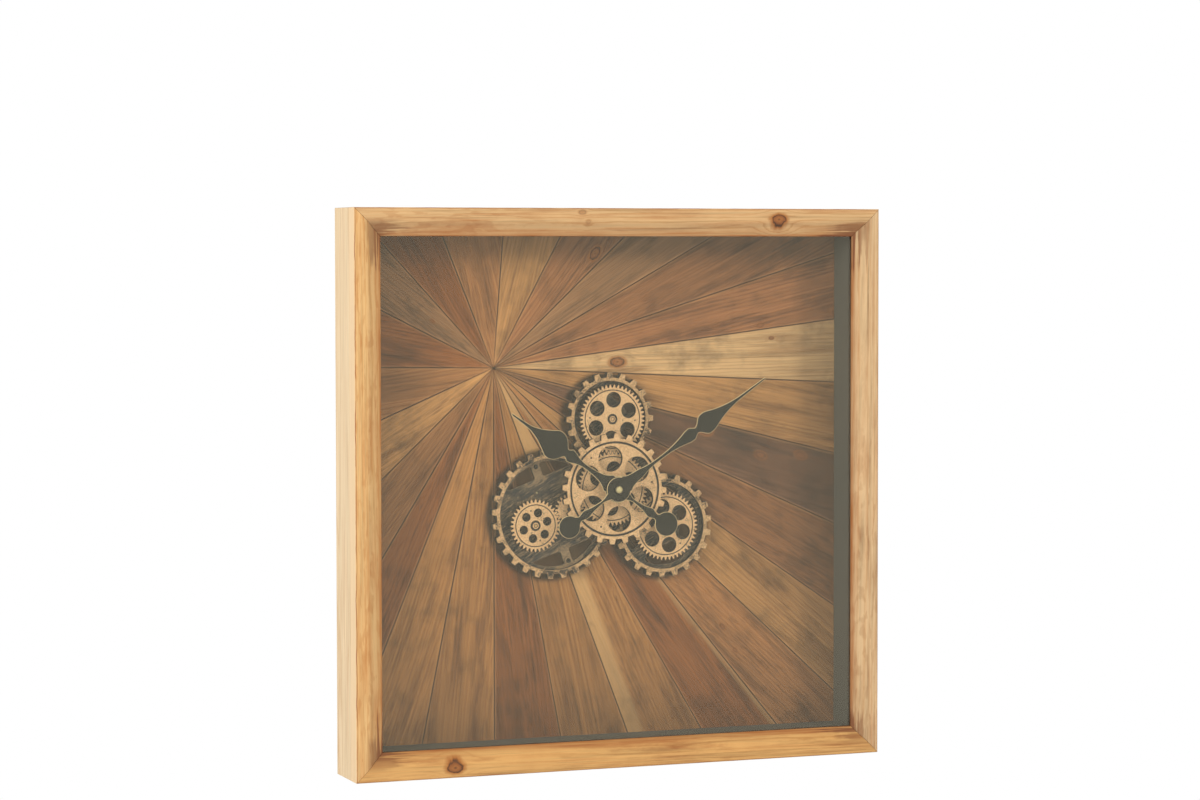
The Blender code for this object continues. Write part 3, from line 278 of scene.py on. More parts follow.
def stacked(parts):
    """Several meshes as one."""
    starts = np.cumsum([0] + [len(points) for points, _ in parts])
    return (
        np.concatenate([points for points, _ in parts]),
        np.concatenate([faces + start for (_, faces), start in zip(parts, starts)]),
    )


# %% [markdown]
# ## From arrays to a piece
#
# Points that fall on the same place are joined, so that seams and poles are closed, and triangles
# that shrink to a line are dropped. The piece then gets its finish, its body and its CAD node.

# %% Make a piece
def make_piece(name, parts, finishes, body, replaced, smooth=32.0):
    """A mesh object from one (points, faces) for each finish, with its object at the origin."""
    points, faces = stacked(parts)
    number = np.repeat(np.arange(len(parts)), [len(part[1]) for part in parts])
    points, index = np.unique(np.round(points * GRID) / GRID, axis=0, return_inverse=True)
    faces = index.reshape(-1)[faces]
    whole = (faces[:, 0] != faces[:, 1]) & (faces[:, 1] != faces[:, 2]) & (faces[:, 2] != faces[:, 0])
    faces, number = faces[whole], number[whole]
    mesh = bpy.data.meshes.new(name)
    placed = points * [MM, -MM, MM] + [0, 0, CENTRE_Z]
    mesh.from_pydata(placed.tolist(), [], faces.tolist())
    mesh.polygons.foreach_set("material_index", number.astype(np.int32))
    mesh.validate()
    for material in finishes:
        mesh.materials.append(material)
    mesh.shade_smooth()
    mesh.set_sharp_from_angle(angle=math.radians(smooth))
    piece = bpy.data.objects.new(name, mesh)
    bpy.context.scene.collection.objects.link(piece)
    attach(piece, body)
    if replaced:
        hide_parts(*replaced)
    return piece


def set_grain(piece, flat, **constants):
    """Gives a piece the UV map that wood grain follows: flat turns positions in mm into (along,
    across) in mm. Each constant becomes a float attribute with one value all over the piece."""
    mesh = piece.data
    places = np.empty(len(mesh.vertices) * 3, np.float32)
    mesh.vertices.foreach_get("co", places)
    places = (places.reshape(-1, 3) - [0, 0, CENTRE_Z]) / [MM, -MM, MM]
    corners = np.empty(len(mesh.loops), np.int32)
    mesh.loops.foreach_get("vertex_index", corners)
    along_across = flat(places)[corners] * MM
    mesh.uv_layers.new(name="grain").data.foreach_set("uv", along_across.astype(np.float32).ravel())
    for key, value in constants.items():
        layer = mesh.attributes.new(key, "FLOAT", "POINT")
        layer.data.foreach_set("value", np.full(len(mesh.vertices), value, np.float32))


# %% [markdown]
# ## The camera
#
# The photograph was taken from the left, almost level, with a long lens. The place and the turn come
# from the clock's eight front corners and its visible side.

# %% Camera
RIGHT = (0.93431051, -0.35645809, -0.00122879)
UP = (0.01694002, 0.04095757, 0.99901727)
FORWARD = (0.35605746, 0.93341315, -0.04430549)
LENS = 98.1706
CAMERA_PLACE = (-1.269163, -3.324544, 0.250053 + CENTRE_Z)
camera = bpy.data.objects.new("camera", bpy.data.cameras.new("camera"))
bpy.context.scene.collection.objects.link(camera)
camera.data.lens = LENS
turn_matrix = Matrix((RIGHT, UP, tuple(-value for value in FORWARD))).transposed()
camera.matrix_world = Matrix.Translation(CAMERA_PLACE) @ turn_matrix.to_4x4()
bpy.context.scene.camera = camera

# %% [markdown]
# ## Writing materials
#
# A material here is a small tree of nodes. One function adds a node, sets its values and links what
# it is given, so that a finish reads from its patterns to its shader. MapRange, for one, takes a
# value, the two ends it comes from and the two it goes to.

# %% Colour and node helpers
def srgb(colour):
    """A hex colour as the linear numbers that Blender's sockets take."""
    values = [int(colour[i : i + 2], 16) / 255 for i in (1, 3, 5)]
    return [v / 12.92 if v <= 0.04045 else ((v + 0.055) / 1.055) ** 2.4 for v in values] + [1.0]


def feed(node, *values, **named):
    """Gives sockets a number, a hex colour, another node or its output. values go to the sockets in
    their order, named ones to the socket of that name, where an underscore stands for a space."""
    sockets = [socket for socket in node.inputs if socket.enabled]
    pairs = list(zip(sockets, values))
    pairs += [(node.inputs[key.replace("_", " ")], value) for key, value in named.items()]
    for socket, value in pairs:
        if isinstance(value, bpy.types.Node):
            value = next(output for output in value.outputs if output.enabled)
        if isinstance(value, bpy.types.NodeSocket):
            node.id_data.links.new(value, socket)
        else:
            socket.default_value = srgb(value) if isinstance(value, str) else value


def add_node(tree, kind, *values, stops=(), **settings):
    """Adds a node and feeds it. kind may hold its operation or data type as a second word. Settings
    with a capital are sockets, the others are the node's own. stops are a ramp's (place, colour)."""
    kind, *word = kind.split()
    node = tree.nodes.new("ShaderNode" + kind)
    if word:
        setattr(node, "data_type" if kind == "Mix" else "operation", word[0])
    named = {key: settings.pop(key) for key in list(settings) if key[0].isupper()}
    for key, value in settings.items():
        setattr(node, key, value)
    feed(node, *values, **named)
    if stops:
        elements = node.color_ramp.elements
        while len(elements) < len(stops):
            elements.new(0.5)
        for element, (place, colour) in zip(elements, stops):
            element.position = place
            element.color = srgb(colour) if isinstance(colour, str) else (colour, colour, colour, 1.0)
    return node


def from_axis(add, place, centre):
    """How far a place lies from an axis that stands square to the wall at a centre in mm."""
    away = add("VectorMath SUBTRACT", place, (centre[0] * MM, 0.0, centre[1] * MM + CENTRE_Z))
    flat = add("VectorMath MULTIPLY", away, (1.0, 0.0, 1.0))
    return add("VectorMath LENGTH", flat)


def stretched(add, place, scale, **settings):
    """Noise with its own number of spots in a metre along each direction."""
    return add("TexNoise", add("Mapping", place, Scale=scale), Scale=1.0, **settings)


def new_material(name):
    """An empty material, a function that adds nodes to it, and its Principled shader."""
    material = bpy.data.materials.new(name)
    material.use_nodes = True
    return material, partial(add_node, material.node_tree), material.node_tree.nodes["Principled BSDF"]


# %% [markdown]
# ## Wood
#
# The frame is lacquered fir and the slats are offcuts of old softwood in many tones. Wood is not a
# flat stripe pattern: a board is cut from a round trunk, so the lines on its face are the year rings
# where the saw met them. The material works out each point's distance from a slightly wandering
# middle of the trunk and draws rings from it. The lines run straight where that middle lies far to
# the side of the board, and close into long loops where it comes near. A knot is a branch: it pushes
# the rings aside and shows its own dark ring. Fibres and broad stains lie over the rings.

# %% Wood material
KNOT_TONES = ((0.08, "#5E3216"), (0.2, "#A4652F"), (0.36, "#8A4E22"), (0.43, "#2E160A"), (0.5, "#A86428"))
RING_TONES = ((0.0, 0.0), (0.62, 0.08), (0.88, 1.0), (1.0, 0.1))  # how late wood grows over a year


def wood(name, early, late, stain, ring=2.4, aside=40.0, under=30.0, sway=5.0, patch=0.5, fibre=0.5,
         lines=1.0, streak=70.0, flecks=0.0, knots=(), edge=None, gloss=0.42, mirror=0.5):
    """Softwood along the grain map. early and late are the ring's pale and dark colour, stain the
    colour of broad dark patches. The lengths are in mm: the ring's width, how far the trunk's middle
    lies beside the board and under its face, and how far it sways. lines is how strong the ring lines
    are, streak how many stain streaks lie across a metre, flecks how dark the short resin flecks are,
    and mirror how much the surface reflects. A knot is (along, across, radius, how dark)."""
    material, add, shader = new_material(name)
    grain = add("UVMap", uv_map="grain")
    shift = add("Attribute", attribute_name="shift").outputs["Fac"]
    lean = add("Attribute", attribute_name="lean").outputs["Fac"]
    along, across, _ = add("SeparateXYZ", grain).outputs
    leaned = add("Math MULTIPLY_ADD", along, lean, across)
    place = add("VectorMath ADD", add("CombineXYZ", along, leaned), shift)

    drift = stretched(add, place, (1.8, 9.0, 1.0)).outputs["Color"]
    wander, depth, gust = add("SeparateColor", drift).outputs
    swayed = add("Math SUBTRACT", wander, 0.5)
    side = add("Math MULTIPLY_ADD", swayed, 2 * sway * MM, leaned)
    knot_shares = []
    for knot_along, knot_across, radius, darkness in knots:
        away = add("VectorMath SUBTRACT", grain, (knot_along * MM, knot_across * MM, 0.0))
        pull = add("VectorMath MULTIPLY", away, (0.6, 1.0, 1.0))
        length = add("VectorMath LENGTH", pull)
        share = add("Math DIVIDE", length, radius * MM)
        ragged = add("TexNoise", grain, Scale=260.0, Detail=1.0)
        share = add("Math MULTIPLY_ADD", ragged, 0.4, share)
        push = add("MapRange", share, 0.6, 4.0, 1.0, 0.0, interpolation_type="SMOOTHSTEP")
        apart = add("Math SUBTRACT", leaned, knot_across * MM)
        side = add("Math SUBTRACT", side, add("Math MULTIPLY", apart, push))
        knot_shares.append((share, darkness))

    aside_now = add("Math ADD", side, aside * MM)
    lift = add("Math MULTIPLY_ADD", depth, under * MM, under / 2 * MM)
    trunk = add("VectorMath LENGTH", add("CombineXYZ", aside_now, lift))
    patches = stretched(add, place, (8.0, streak, 1.0), Detail=5.0, Roughness=0.65)
    uneven = add("Math MULTIPLY", patches, 1.8)
    years = add("Math MULTIPLY_ADD", trunk, 1 / (ring * MM), uneven)
    rise = add("ValToRGB", add("Math FRACT", years), stops=RING_TONES)
    strength = add("MapRange", gust, 0.35, 0.62, 0.3 * lines, lines)
    line = add("Math MULTIPLY", rise, strength)

    fibres = stretched(add, place, (7.0, 430.0, 1.0), Detail=3.0, Roughness=0.6)
    body = add("Mix RGBA", line, early, late)
    dark = add("MapRange", patches, 0.48, 0.74, 0.0, patch)
    stained = add("Mix RGBA", dark, body, stain)
    shade = add("MapRange", fibres, 0.25, 0.75, 1 - 0.34 * fibre, 1 + 0.26 * fibre)
    colour = add("VectorMath MULTIPLY", stained, shade)
    if flecks:
        specks = stretched(add, place, (55.0, 330.0, 1.0))
        thick = add("MapRange", specks, 0.55, 0.63, 0.0, flecks)
        where = add("MapRange", depth, 0.45, 0.56, 0.0, thick)
        colour = add("Mix RGBA", where, colour, stain)
    for share, darkness in knot_shares:
        tone = add("ValToRGB", add("Math MULTIPLY", share, 0.4), stops=KNOT_TONES)
        cover = add("MapRange", share, 1.2, 1.75, darkness, 0.0)
        colour = add("Mix RGBA", cover, colour, tone)
    if edge:
        colour = edge(add, colour, along, across, fibres)
    shine = add("MapRange", fibres, 0.3, 0.7, gloss + 0.08, gloss - 0.04)
    relief = add("Bump", Height=line, Distance=0.000015)
    feed(shader, Base_Color=colour, Roughness=shine, Specular_IOR_Level=mirror, Normal=relief)
    return material


print("helpers are ready")

# %% [markdown]
# ## The frame
#
# Four side boards make the box and four mouldings close its front. The joiner mills one profile on a
# long strip and cuts it at 45 degrees, and so does the script: the profile is carried along each
# side, and every point of it stops where it meets the corner's mitre.

# %% Frame profiles
MITRE_GAP = 0.3 / math.sqrt(2)
MOULDING_BACK = depths("moulding_top")[0]
LIP_BACK = 63.3
BOARD_THICKNESS = 18.0
MOULDING_WIDTH = 30.0
SHOULDER, CREST, FALL, HOLLOW = 12.0, 18.6, 6.3, 3.5
EDGE_ROUND = 1.5


def moulding_profile():
    """(distance from the outer edge, depth): a quarter round, a flat, a crown that falls as the
    square of the way across it, and a hollow that rises again as a square towards the crown."""
    quarter = np.radians(np.linspace(0, 90, 7))
    rounded = np.stack(
        [EDGE_ROUND * (1 - np.cos(quarter)), FRONT - EDGE_ROUND * (1 - np.sin(quarter))], axis=1)
    share = np.linspace(0, 1, 9)[1:]
    crown = np.stack([SHOULDER + (CREST - SHOULDER) * share, FRONT - (FALL - HOLLOW) * share**2], axis=1)
    hollow = np.stack(
        [CREST + (MOULDING_WIDTH - 0.5 - CREST) * share, FRONT - FALL + HOLLOW * (1 - share) ** 2], axis=1)
    back = [(MOULDING_WIDTH, FRONT - FALL - 0.5), (MOULDING_WIDTH, LIP_BACK), (BOARD_THICKNESS, LIP_BACK),
            (BOARD_THICKNESS, MOULDING_BACK), (0.0, MOULDING_BACK)]
    return np.concatenate([rounded, [(SHOULDER, FRONT)], crown, hollow, back])


def board_profile():
    """A plain board with its long edges just broken."""
    front = depths("side_board_top")[1]
    soft = 0.4
    return np.array([
        (0, soft), (0, front - soft), (soft, front), (BOARD_THICKNESS - soft, front),
        (BOARD_THICKNESS, front - soft), (BOARD_THICKNESS, soft), (BOARD_THICKNESS - soft, 0), (soft, 0),
    ], float)


def frame_side(profile, place):
    """One side of the frame with its mitred ends. Along a side, the distance from the outer edge is
    also what the mitre takes off each end."""
    def at_mitre(points, sign):
        """Points of the profile, moved along the side to one of its ends."""
        across, depth = points.T
        return np.stack([sign * (HALF - across - MITRE_GAP), across - HALF, depth], axis=1)
    shape = outline(profile)
    flat, filled = cells([shape])
    filled = filled[inside(flat[filled].mean(axis=1), [shape])]
    points, faces = stacked([
        skin(np.stack([at_mitre(shape[0], -1), at_mitre(shape[0], 1)]), shape[1]),
        (at_mitre(flat, -1), filled[:, ::-1]), (at_mitre(flat, 1), filled)])
    along, outwards, depth = points.T
    x, z = {"bottom": (along, outwards), "left": (outwards, -along),
            "top": (-along, -outwards), "right": (-outwards, along)}[place]
    return np.stack([x, depth, z], axis=1), faces


def side_grain(place):
    """Unrolls a side's front and its outer face into (along, across), across from the outer edge."""
    def flat(points):
        x, depth, z = points.T
        along, edge = {"bottom": (x, z), "left": (z, x), "top": (x, -z), "right": (z, -x)}[place]
        return np.stack([along, edge + HALF - (FRONT - depth)], axis=1)
    return flat


# %% [markdown]
# The torch that aged the frame has scorched the inner edge and the corners, where a flame lingers,
# and left a ragged dark line on the outer edge. The scorch follows the fibres, so it ends in streaks.

# %% Frame woods
def scorched(add, colour, along, across, fibres):
    """Browns the moulding near its inner edge and the corners, and burns a dotted outer line."""
    flat = add("CombineXYZ", along, across)
    spots = add("TexNoise", flat, Scale=22.0, Detail=4.0)
    streaks = add("Math MULTIPLY_ADD", fibres, 1.5, add("Math MULTIPLY", spots, 0.5))
    rim = add("MapRange", across, 0.0165, 0.0285, -0.35, 0.65)
    inner = add("Math ADD", rim, streaks)
    warm = add("MapRange", inner, 0.65, 1.4, 0.0, 0.95)
    browned = add("Mix RGBA", warm, colour, "#A05E26")
    reach = add("Math ADD", add("Math ABSOLUTE", along), across)
    corner = add("MapRange", reach, 0.225, 0.288, -0.4, 0.2)
    into_corner = add("Math ADD", corner, streaks)
    burnt = add("MapRange", into_corner, 0.98, 1.13, 0.0, 0.85)
    inwards = add("MapRange", across, 0.009, 0.02)
    burnt = add("Math MULTIPLY", burnt, inwards)
    waved = add("Math MULTIPLY_ADD", spots, 0.007, across)
    near = add("Math ABSOLUTE", add("Math SUBTRACT", waved, 0.0038))
    dots = add("MapRange", spots, 0.36, 0.56, 0.1, 0.9)
    dotted = add("MapRange", near, 0.0004, 0.0011, dots, 0.0)
    outer = add("MapRange", across, -0.0012, 0.0004, 0.8, 0.0)
    pale = add("Mix RGBA", outer, browned, "#F0D0A0")
    charred = add("Mix RGBA", burnt, pale, "#74401C")
    return add("Mix RGBA", dotted, charred, "#9A4F1C")


FIR = dict(ring=3.6, aside=50.0, under=24.0, sway=2.0, patch=0.8, fibre=0.95, lines=0.6, streak=150.0,
           flecks=0.3, edge=scorched, gloss=0.4)
woods = {
    "moulding_top": wood("lacquered_fir_top", "#E3B881", "#BE8446", "#AC6830",
                         knots=((-48.0, 4.5, 2.4, 0.5), (-41.0, 14.0, 1.6, 0.3), (180.0, 11.4, 5.2, 0.95)),
                         **FIR),
    "moulding_bottom": wood("lacquered_fir_bottom", "#E7B16A", "#BC7B39", "#955320",
                            knots=((-192.0, 10.7, 5.6, 0.95),), **FIR),
    "moulding_left": wood("lacquered_fir_left", "#EFC080", "#CF914A", "#BE732C", **FIR),
    "moulding_right": wood("lacquered_fir_right", "#E6C190", "#BE8B54", "#A0693A", **FIR),
    "side_board": wood("lacquered_fir_board", "#EBCEA1", "#D6AD76", "#CB9351", ring=3.4, aside=60.0,
                       under=30.0, sway=2.5, patch=0.45, fibre=0.5, lines=0.8, streak=110.0, gloss=0.42),
}
FRAME_SHIFTS = {"bottom": 1.3, "left": 2.9, "top": 4.1, "right": 6.7}
for kind, profile in (("side_board", board_profile()), ("moulding", moulding_profile())):
    for place, shift in FRAME_SHIFTS.items():
        node = f"{kind}_{place}"
        piece = make_piece(f"fir_{node}", [frame_side(profile, place)],
                           [woods.get(node, woods["side_board"])], "root", [node])
        set_grain(piece, side_grain(place), shift=shift + (0.5 if kind == "moulding" else 0.0), lean=0.01)
print("the frame has", len(FRAME_SHIFTS) * 2, "pieces")

# %% [markdown]
# ## The sunburst panel
#
# Each slat is a wedge that starts near one point at upper left and ends at the panel's edge. The
# slats come from different old boards, so they differ in tone and stand a little higher or lower
# than their neighbours. Their edges are softened, which draws the dark seams between them.

# %% Slat outlines
BURST = np.array([-130.0, 129.5])
SLAT_GAP = 0.3
PANEL_HALF = HALF - BOARD_THICKNESS - SLAT_GAP
SLAT_BACK, SLAT_FRONT = depths("sunburst_slat_05")
SLATS = (  # angle of one edge, slot, look, tone
    (4.5, "honey", "amber", 1.00), (28.6, "walnut", "brown", 1.18), (47.0, "ash", "grey", 1.03),
    (61.0, "walnut", "brown", 1.00), (73.0, "rust", "red", 0.88), (83.0, "honey", "pale", 0.86),
    (93.0, "tan", "amber", 0.82), (104.0, "umber", "dark", 0.95), (114.0, "rust", "brown", 0.80),
    (124.0, "tan", "amber", 0.78), (132.4, "tan", "tan", 0.82), (140.4, "walnut", "umber", 0.74),
    (149.0, "honey", "russet", 0.95), (159.0, "umber", "russet", 0.90), (169.3, "tan", "umber", 0.66),
    (180.0, "rust", "russet", 1.05), (191.5, "tan", "russet", 1.25), (202.5, "umber", "umber", 0.90),
    (212.0, "walnut", "tan", 0.90), (227.0, "honey", "amber", 1.15), (247.0, "tan", "tan", 1.00),
    (271.0, "umber", "umber", 0.95), (296.5, "ash", "grey", 0.95), (317.0, "walnut", "umber", 0.71),
    (338.0, "tan", "tan", 1.03),
)


def panel_edge(start, turn):
    """Where a line from a point at this clockwise angle leaves the panel."""
    way = polar(1.0, turn)
    shares = [(math.copysign(PANEL_HALF, way[i]) - start[i]) / way[i] for i in (0, 1) if abs(way[i]) > 1e-9]
    return start + way * min(shares)


def slat_outline(start, end):
    """From near the burst's centre to the panel's edge, round a corner where one lies between."""
    half = math.radians(end - start) / 2
    tip = polar(SLAT_GAP / 2 / math.sin(half), (start + end) / 2, BURST)
    corners = [np.array([x, z]) * PANEL_HALF for x, z in ((-1, -1), (1, -1), (1, 1), (-1, 1))]
    turns = [(math.degrees(math.atan2(*(corner - tip))) - start) % 360 for corner in corners]
    between = sorted((turn, i) for i, turn in enumerate(turns) if turn < end - start)
    return [tip, panel_edge(tip, start), *[corners[i] for _, i in between], panel_edge(tip, end)]


# %% [markdown]
# The movement and the gear drive sit in pockets that are milled into the back of the panel. A slat
# is therefore two layers: a front layer of its full outline, and a back layer without the pockets.
# The floor of the pocket closes the step between them.

# %% Slat solids
SLAT_EDGE = 0.5
POCKET_FLOOR = 16.3


def rectangle(centre, half_width, half_height, hole=False):
    """A rectangle round a centre."""
    corners = np.array([(-1, -1), (1, -1), (1, 1), (-1, 1)])
    return outline(centre + corners * [half_width, half_height], hole)


SLEEVE_HOLE, SHAFT_HOLE = 4.3, 3.0
POCKETS = [rectangle(HANDS_AXIS, 29.0, 29.0), rectangle(PINION_AXIS - [13.0, 9.5], 31.0, 21.0)]
SHAFT_HOLES = [circle(SLEEVE_HOLE, HANDS_AXIS, 32), circle(SHAFT_HOLE, PINION_AXIS, 24)]


def slat_solid(shape, front):
    """A slat with whatever part of the pockets and shaft holes falls on it."""
    whole = cut([shape], SHAFT_HOLES)
    behind = cut([shape], POCKETS + SHAFT_HOLES)
    floor = region([shape, *POCKETS, *SHAFT_HOLES], lambda places: within(places, [shape])
                   & within(places, POCKETS) & ~within(places, SHAFT_HOLES))
    parts = [walls(behind, ((0.0, SLAT_BACK), (0.0, POCKET_FLOOR))),
             walls(whole, ((0.0, POCKET_FLOOR), (0.0, front - SLAT_EDGE), (SLAT_EDGE, front))),
             cap([behind], SLAT_BACK, False),
             cap([(moved_in(*whole, SLAT_EDGE), whole[1])], front, True)]
    if len(floor[0]):
        parts.append(cap([floor], POCKET_FLOOR, False))
    return stacked(parts)


# %% [markdown]
# The slats are bare old boards. Painted shade darkens them towards the panel's border, and a painted
# shadow lies under the gears' rings and just beside their teeth. Dirt has settled in the seams, and
# a painted highlight makes the edge beside a seam paler. Two slats were sawn near the bark and keep
# a strip of pale sapwood along one edge.

# %% Slat woods
LEFT_RING_REACH, LEFT_RING_TURN = 70.3, 248.0
LEFT_RING = polar(LEFT_RING_REACH, LEFT_RING_TURN, HANDS_AXIS)
RINGS = {  # centre, number of teeth, radius at the teeth's tips, turn of a tooth
    "top": (TOP_AXIS, 20, 50.2, 0.0),
    "right": (RIGHT_AXIS, 22, 56.6, 1.7),
    "left": (LEFT_RING, 28, 69.8, 3.0),
}
BAND_TURN, BAND_REACH, SPOKE = -20.0, 41.5, 10.0
SCREW_CIRCLE = RINGS["left"][2] - 15.4
SHADOW_OFFSET = np.array([3.0, 1.0])  # the painted shadow of the rings lies down to the left
screws = [polar(SCREW_CIRCLE, turn, LEFT_RING) for turn in (BAND_TURN, BAND_TURN + 180)]


def aged_and_shaded(add, colour, along, across, fibres):
    """Paints shade that darkens a slat towards the panel's border and a painted shadow under and just
    beside each ring of the base, tones it by its own lightness, and draws its sapwood, the dirt in its
    seams and a painted highlight on the edge beside each seam. A wedge's edge is as far away as its
    half width there, along times the taper, less the distance from its centre line."""
    place = add("TexCoord").outputs["Object"]
    centred = add("VectorMath SUBTRACT", place, (0.0, 0.0, CENTRE_Z))
    far_x, _, far_z = add("SeparateXYZ", add("VectorMath ABSOLUTE", centred)).outputs
    # Painted shade: a slat is lighter in the middle of the panel and darker towards its border, where the
    # deep frame shades it.
    painted_border_shade = add("MapRange", add("Math MAXIMUM", far_x, far_z), 0.11, 0.285, 1.12, 0.74)
    own = add("Attribute", attribute_name="tone").outputs["Fac"]
    level = add("Math MULTIPLY", painted_border_shade, own)
    # Painted shadow: each ring of the base darkens the slats under it and just beyond its teeth, offset
    # down to the left.
    for centre, _, tip, _ in RINGS.values():
        radius = from_axis(add, place, centre - SHADOW_OFFSET)
        painted_ring_shadow = add("MapRange", radius, (tip - 1) * MM, (tip + 4) * MM, 0.2, 1.0)
        level = add("Math MULTIPLY", level, painted_ring_shadow)
    smudge = add("TexNoise", place, Scale=26.0, Detail=5.0, Roughness=0.65)
    smudged = add("MapRange", smudge, 0.5, 0.7, 1.04, 0.6)
    level = add("Math MULTIPLY", level, smudged)
    taper = add("Attribute", attribute_name="taper").outputs["Fac"]
    half_width = add("Math MULTIPLY", along, taper)
    sapwood = add("Attribute", attribute_name="sapwood").outputs["Fac"]
    towards = add("Math MULTIPLY", across, add("Math SIGN", sapwood))
    from_edge = add("Math SUBTRACT", half_width, towards)
    ragged = add("Math MULTIPLY_ADD", fibres, 0.014, from_edge)
    past = add("Math SUBTRACT", ragged, add("Math ABSOLUTE", sapwood))
    sap = add("MapRange", past, -0.003, 0.004, 0.6, 0.0)
    colour = add("Mix RGBA", sap, colour, "#D2A368")
    toned = add("VectorMath MULTIPLY", colour, level)
    room = add("Math SUBTRACT", half_width, add("Math ABSOLUTE", across))
    # Painted highlight: the edge beside each seam is made paler, more where the fibres are light.
    seam_highlight_share = add("MapRange", room, 0.001, 0.0026, 0.5, 0.0)
    lighter = add("MapRange", fibres, 0.3, 0.6, 0.3, 1.0)
    painted_seam_highlight = add("Math MULTIPLY", seam_highlight_share, lighter)
    pale = add("Mix RGBA", painted_seam_highlight, toned, "#C58C56")
    reached = add("MapRange", along, 0.005, 0.06, 0.15, 0.85)
    dirt = add("MapRange", room, 0.0003, 0.0011, reached, 0.0)
    return add("Mix RGBA", dirt, pale, "#2A1A0E")


SLAT_LOOKS = {
    "pale": ("#DDAF76", "#BC874D", "#8A5A2D"),
    "amber": ("#C48B4E", "#976130", "#64391B"),
    "russet": ("#A9723A", "#7F4D22", "#552E15"),
    "tan": ("#B3763F", "#85502A", "#5A351A"),
    "red": ("#B17240", "#7B472B", "#482818"),
    "brown": ("#9D6538", "#6F4223", "#432B1A"),
    "umber": ("#A46029", "#743D18", "#452712"),
    "grey": ("#9E6F44", "#754C2A", "#483320"),
    "dark": ("#704A30", "#46301F", "#241D18"),
}
SLAT_KNOTS = {
    2: ((168.0, 17.0, 5.0, 0.9),),
    4: ((188.0, 1.0, 2.2, 0.7),),
    5: ((260.0, 11.9, 2.4, 0.6), (313.0, 22.5, 2.6, 0.7), (405.0, 28.0, 3.0, 0.7)),
    6: ((142.0, 0.4, 5.2, 0.95), (325.0, -17.3, 1.8, 0.9)),
    8: ((255.0, -12.3, 5.0, 0.5), (327.0, -6.4, 4.0, 0.5), (373.0, -21.1, 4.0, 0.6)),
    11: ((392.0, 6.3, 2.4, 0.8), (422.0, 13.7, 2.0, 0.8)),
    13: ((271.0, -13.7, 2.0, 0.6),),
    23: ((85.0, -0.3, 1.6, 0.9),),
}
SLAT_WOOD = dict(aside=44.0, under=20.0, sway=2.4, patch=0.9, fibre=0.9, lines=0.65, streak=65.0,
                 flecks=0.38, edge=aged_and_shaded, gloss=0.6, mirror=0.2)
SAPWOOD = {12: -11.0, 13: 24.0}  # how wide it is in mm, with the sign of the slat's side
for number, (start, slot, look, tone) in enumerate(SLATS, 1):
    knots = SLAT_KNOTS.get(number, ())
    key = f"old_softwood_{look}_{number}" if knots else f"old_softwood_{look}"
    if key not in bpy.data.materials:
        wood(key, *SLAT_LOOKS[look], ring=3.7, knots=knots, **SLAT_WOOD)
    end = SLATS[number % len(SLATS)][0] + (360 if number == len(SLATS) else 0)
    front = SLAT_FRONT - (number * 7 % 5) * 0.1
    node = f"sunburst_slat_{number:02d}"
    slat = make_piece(f"wood_{node}", [slat_solid(outline(slat_outline(start, end)), front)],
                      [bpy.data.materials[key]], "root", [node])
    middle = (start + end) / 2
    way, square = polar(1.0, middle), polar(1.0, middle + 90)
    set_grain(slat, lambda points: (points[:, ::2] - BURST) @ np.stack([way, square], axis=1),
              taper=math.tan(math.radians(end - start) / 2), shift=0.77 * number, tone=tone,
              lean=0.02 * (number * 5 % 7 - 3), sapwood=SAPWOOD.get(number, 0.0) * MM)
print("the panel has", len(SLATS), "slats")

# %% [markdown]
# ## Antique bronze
#
# The gears are moulded and painted almost black, and then rubbed with gold paste. The paste stays on
# faces that look outwards and on worn edges, and never reaches the walls. So the finish asks each
# point which way its surface faces, and mottles the gold a little.

# %% Bronze paints
def rubbed_bronze(name, gold, dull, dark, cover, grit=900.0, blotch=0.5, stretch=1.0, rise=0.0, bright=()):
    """Dark paint with gold rubbed on the faces that look outwards. cover is how much of them is gold,
    from 0 to 1, grit the marks in a metre, blotch how uneven the rubbing was, stretch how long the rub
    marks are drawn, rise the angle in degrees at which they climb to the right, and bright the places,
    in mm, that are rubbed more."""
    material, add, shader = new_material(name)
    place = add("TexCoord").outputs["Object"]
    _, facing, _ = add("SeparateXYZ", add("NewGeometry").outputs["Normal"]).outputs
    front = add("MapRange", facing, -0.3, -0.75)
    corner = add("MapRange", facing, -0.97, -0.8)
    drawn = add("Mapping", place, Rotation=(0.0, -math.radians(rise), 0.0), Scale=(stretch, 1.0, 1.0),
                vector_type="TEXTURE")
    rub = add("TexNoise", drawn, Scale=grit, Detail=5.0, Roughness=0.7)
    wide = add("TexNoise", place, Scale=90.0)
    marks = add("Math MULTIPLY_ADD", wide, blotch, rub)
    for centre in bright:
        more = add("MapRange", from_axis(add, place, centre), 0.008, 0.02, 0.26, 0.0)
        marks = add("Math ADD", marks, more)
    low = 0.65 + blotch / 2 - 0.3 * cover
    rubbed = add("MapRange", marks, low - 0.05, low + 0.05)
    edged = add("Math MAXIMUM", corner, rubbed)
    gold_share = add("Math MULTIPLY", front, edged)
    speck = add("TexNoise", place, Scale=620.0, Roughness=0.6)
    spread = add("MapRange", speck, 0.36, 0.62)
    tone = add("Mix RGBA", spread, dull, gold)
    colour = add("Mix RGBA", gold_share, dark, tone)
    metal = add("Math MULTIPLY", gold_share, 0.3)
    rough = add("MapRange", rub, 0.3, 0.7, 0.45, 0.65)
    relief = add("Bump", Height=speck, Distance=0.00005)
    feed(shader, Base_Color=colour, Metallic=metal, Roughness=rough, Normal=relief)
    return material


